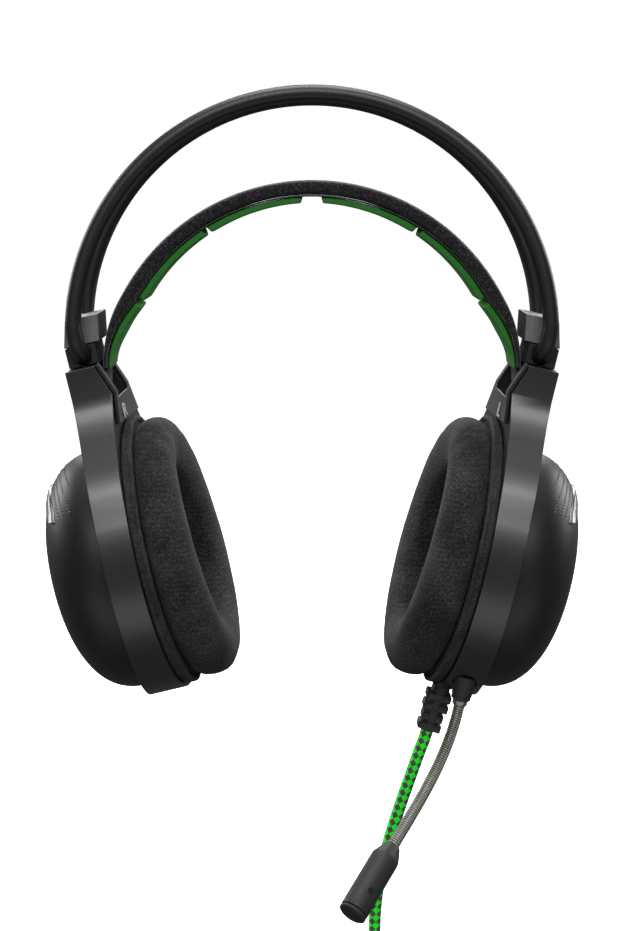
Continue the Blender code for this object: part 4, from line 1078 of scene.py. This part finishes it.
def toothSwell(angle, wide):
    # shallow teeth on the rim only
    tooth = smoothStep(0.5 + 1.5 * math.cos(angle * wheelValues["teeth"]))
    return 1 - wheelValues["toothDepth"] * smoothStep((wide - 6.5) / 0.4) * tooth


wheel = sweep(wheelStations, 160, swell=toothSwell, closed=True)
makePiece(wheel, "volume_thumb_wheel", "volume_wheel", wheelFinish, ("volume_wheel",), 1, 40.0)
finishNode("volume_control", boardFinish)


# each collar is (top, half width, half depth) in millimetres
reliefValues = {"collars": ((0.9, 4.75, 3.9), (4.9, 4.75, 3.8), (8.9, 4.1, 3.6), (12.7, 4.4, 3.7)),
                "collarHeight": 2.9 * mm}


def addTo(work, extra):
    # put a second bmesh into the first
    mesh = bpy.data.meshes.new("extra")
    extra.to_mesh(mesh)
    extra.free()
    work.from_mesh(mesh)


def addRelief():
    # a core with four flat-sided collars, each hollowed front and back so that it bends
    place = axisAt(cordValues["reliefTop"], reliefDown)
    work = turned([(0, -4.4), (1.45, -4.4), (1.5, -2.1), (3.5, -2.0), (3.6, 0.8), (3.2, 15.4), (2.7, 16.0),
                   (0, 16.0)], 28, place)
    across = Vector((math.cos(cordValues["reliefLean"]), 0, -math.sin(cordValues["reliefLean"])))
    frameRows = Matrix((across, Vector((0, 1, 0)), reliefDown)).transposed().to_4x4()
    shifted = Matrix.Translation(cordValues["reliefTop"]) @ frameRows
    height = reliefValues["collarHeight"]
    for top, wide, deep in reliefValues["collars"]:
        collar = bmesh.new()
        bmesh.ops.create_cube(collar, size=1.0)
        bmesh.ops.scale(collar, vec=(2 * wide * mm, 2 * deep * mm, height), verts=collar.verts)
        ends = [face for face in collar.faces if abs(face.normal.y) > 0.9]
        bmesh.ops.inset_individual(collar, faces=ends, thickness=0.7 * mm, depth=-0.8 * mm)
        rims = [edge for edge in collar.edges if edge.is_manifold and edge.calc_face_angle(0) > 0.6]
        roundEdges(collar, rims, 0.45 * mm)
        bmesh.ops.translate(collar, vec=(0, 0, top * mm + height / 2), verts=collar.verts)
        bmesh.ops.transform(collar, matrix=shifted, verts=collar.verts)
        if shifted.determinant() < 0:
            bmesh.ops.reverse_faces(collar, faces=collar.faces)
        addTo(work, collar)
    return makePiece(work, "strain_relief_boot", "left_cup", reliefFinish,
                     ("strain_relief",), 1, 38.0)


reliefPiece = addRelief()
tiePiece = addPart("cord_tie", "hook_and_loop_tie", elasticFinish, "left_cup", 0.35 * mm)
plugPlace = axisAt(cordValues["plugTop"] + Vector((0, 0, -0.3 * mm)), (0, 0, -1))
gripProfile = [(0, 0), (2.7, 0), (3.1, 0.5), (3.4, 4.0), (4.1, 6.4)]
for groove in range(5):
    start = 8.0 + groove * 2.4
    gripProfile += [(4.2, start), (3.8, start + 0.3), (3.8, start + 0.9), (4.2, start + 1.2)]
gripProfile += [(4.2, 22.8), (3.7, 23.8), (3.1, 24.0), (0, 24.0)]
plugPiece = makePiece(turned(gripProfile, 40, plugPlace), "plug_grip", "left_cup", reliefFinish,
                      ("plug_body",), 1, 35.0)
pinPlace = axisAt(cordValues["plugTop"] + Vector((0, 0, -24.6 * mm)), (0, 0, -1))
pin = turned([(0, 0), (1.75, 0), (1.75, 11.6), (1.2, 12.2), (1.7, 13.0), (1.2, 13.6), (0.5, 14.0), (0, 14.0)],
             32, pinPlace)
pinPiece = makePiece(pin, "plug_contact_pin", "left_cup", goldFinish, ("plug_pin",), 1, 30.0)
bands = bmesh.new()
for along in (4.2, 7.2, 10.2):
    addTo(bands, turned([(1.6, along), (1.78, along), (1.78, along + 0.5), (1.6, along + 0.5), (1.6, along)],
                        32, pinPlace))
bandPiece = makePiece(bands, "plug_insulating_rings", "left_cup", reliefFinish)
print("lead fittings made")


stageValues = {"floorZ": -0.385, "floorSize": 30.0, "worldGlow": 0.10, "backdropGlow": 1.05}


def addStage():
    values = stageValues
    work = bmesh.new()
    bmesh.ops.create_grid(work, x_segments=4, y_segments=4, size=values["floorSize"])
    bmesh.ops.translate(work, vec=(0, 0, values["floorZ"]), verts=work.verts)
    mesh = bpy.data.meshes.new("floor")
    work.to_mesh(mesh)
    work.free()
    material, tree, shader = startMaterial("matWhitePaper", "#f4f4f4", 0.9, Emission_Color=(1, 1, 1, 1),
                                           Emission_Strength=0.85)
    grain(tree, shader, "#f0f0f0", "#f8f8f8", 3.0, (0.85, 0.95), 0.05, 0.1)
    mesh.materials.append(material)
    floor = bpy.data.objects.new("studio_floor", mesh)
    bpy.context.scene.collection.objects.link(floor)
    # the paper doesn't throw its own light up on to the object
    floor.visible_diffuse = False
    floor.visible_glossy = False
    world = bpy.data.worlds.new("studio")
    bpy.context.scene.world = world
    world.use_nodes = True
    tree = world.node_tree
    tree.nodes.clear()
    path = addNode(tree, "LightPath")
    glow = addNode(tree, "Background", {"Color": (1, 1, 1, 1), "Strength": values["worldGlow"]})
    backdrop = addNode(tree, "Background", {"Color": (1, 1, 1, 1), "Strength": values["backdropGlow"]})
    mix = addNode(tree, "MixShader", None, {0: path.outputs["Is Camera Ray"], 1: glow.outputs[0],
                                            2: backdrop.outputs[0]})
    addNode(tree, "OutputWorld", None, {"Surface": mix.outputs[0]})


def addSoftbox(name, place, aim, width, height, watts):
    data = bpy.data.lights.new(name, "AREA")
    data.shape = "RECTANGLE"
    data.size = width
    data.size_y = height
    data.energy = watts
    lamp = bpy.data.objects.new(name, data)
    lamp.location = place
    lamp.rotation_euler = (Vector(aim) - Vector(place)).to_track_quat("-Z", "Y").to_euler()
    lamp.visible_camera = False
    bpy.context.scene.collection.objects.link(lamp)


addStage()
# each box has its place, what it faces, its width and height, and its watts
softboxes = (("highFront", (0.0, -1.12, 0.61), (0, 0, -0.09), 1.1, 0.26, 11.0),
             ("lowFront", (0.0, -0.30, -0.345), (0, 0, -0.12), 0.8, 0.16, 0.35),
             ("overhead", (0.0, 0.1, 1.1), (0, 0, 0), 0.9, 0.6, 16.0),
             ("rearHigh", (0.0, 1.3, 0.7), (0, 0, -0.1), 1.4, 0.7, 16.0),
             ("leftSide", (1.25, 0.75, 0.35), (0, 0, -0.1), 0.8, 0.8, 12.0),
             ("rightSide", (-1.25, 0.75, 0.35), (0, 0, -0.1), 0.8, 0.8, 12.0))
for box in softboxes:
    addSoftbox(*box)
sun = bpy.data.objects.new("roomLight", bpy.data.lights.new("roomLight", "SUN"))
sun.data.energy = 0.45
sun.data.angle = math.radians(60)
sun.rotation_euler = (math.radians(8), 0, 0)
bpy.context.scene.collection.objects.link(sun)
bpy.context.scene.view_settings.view_transform = "Standard"
print("floor and lights made")
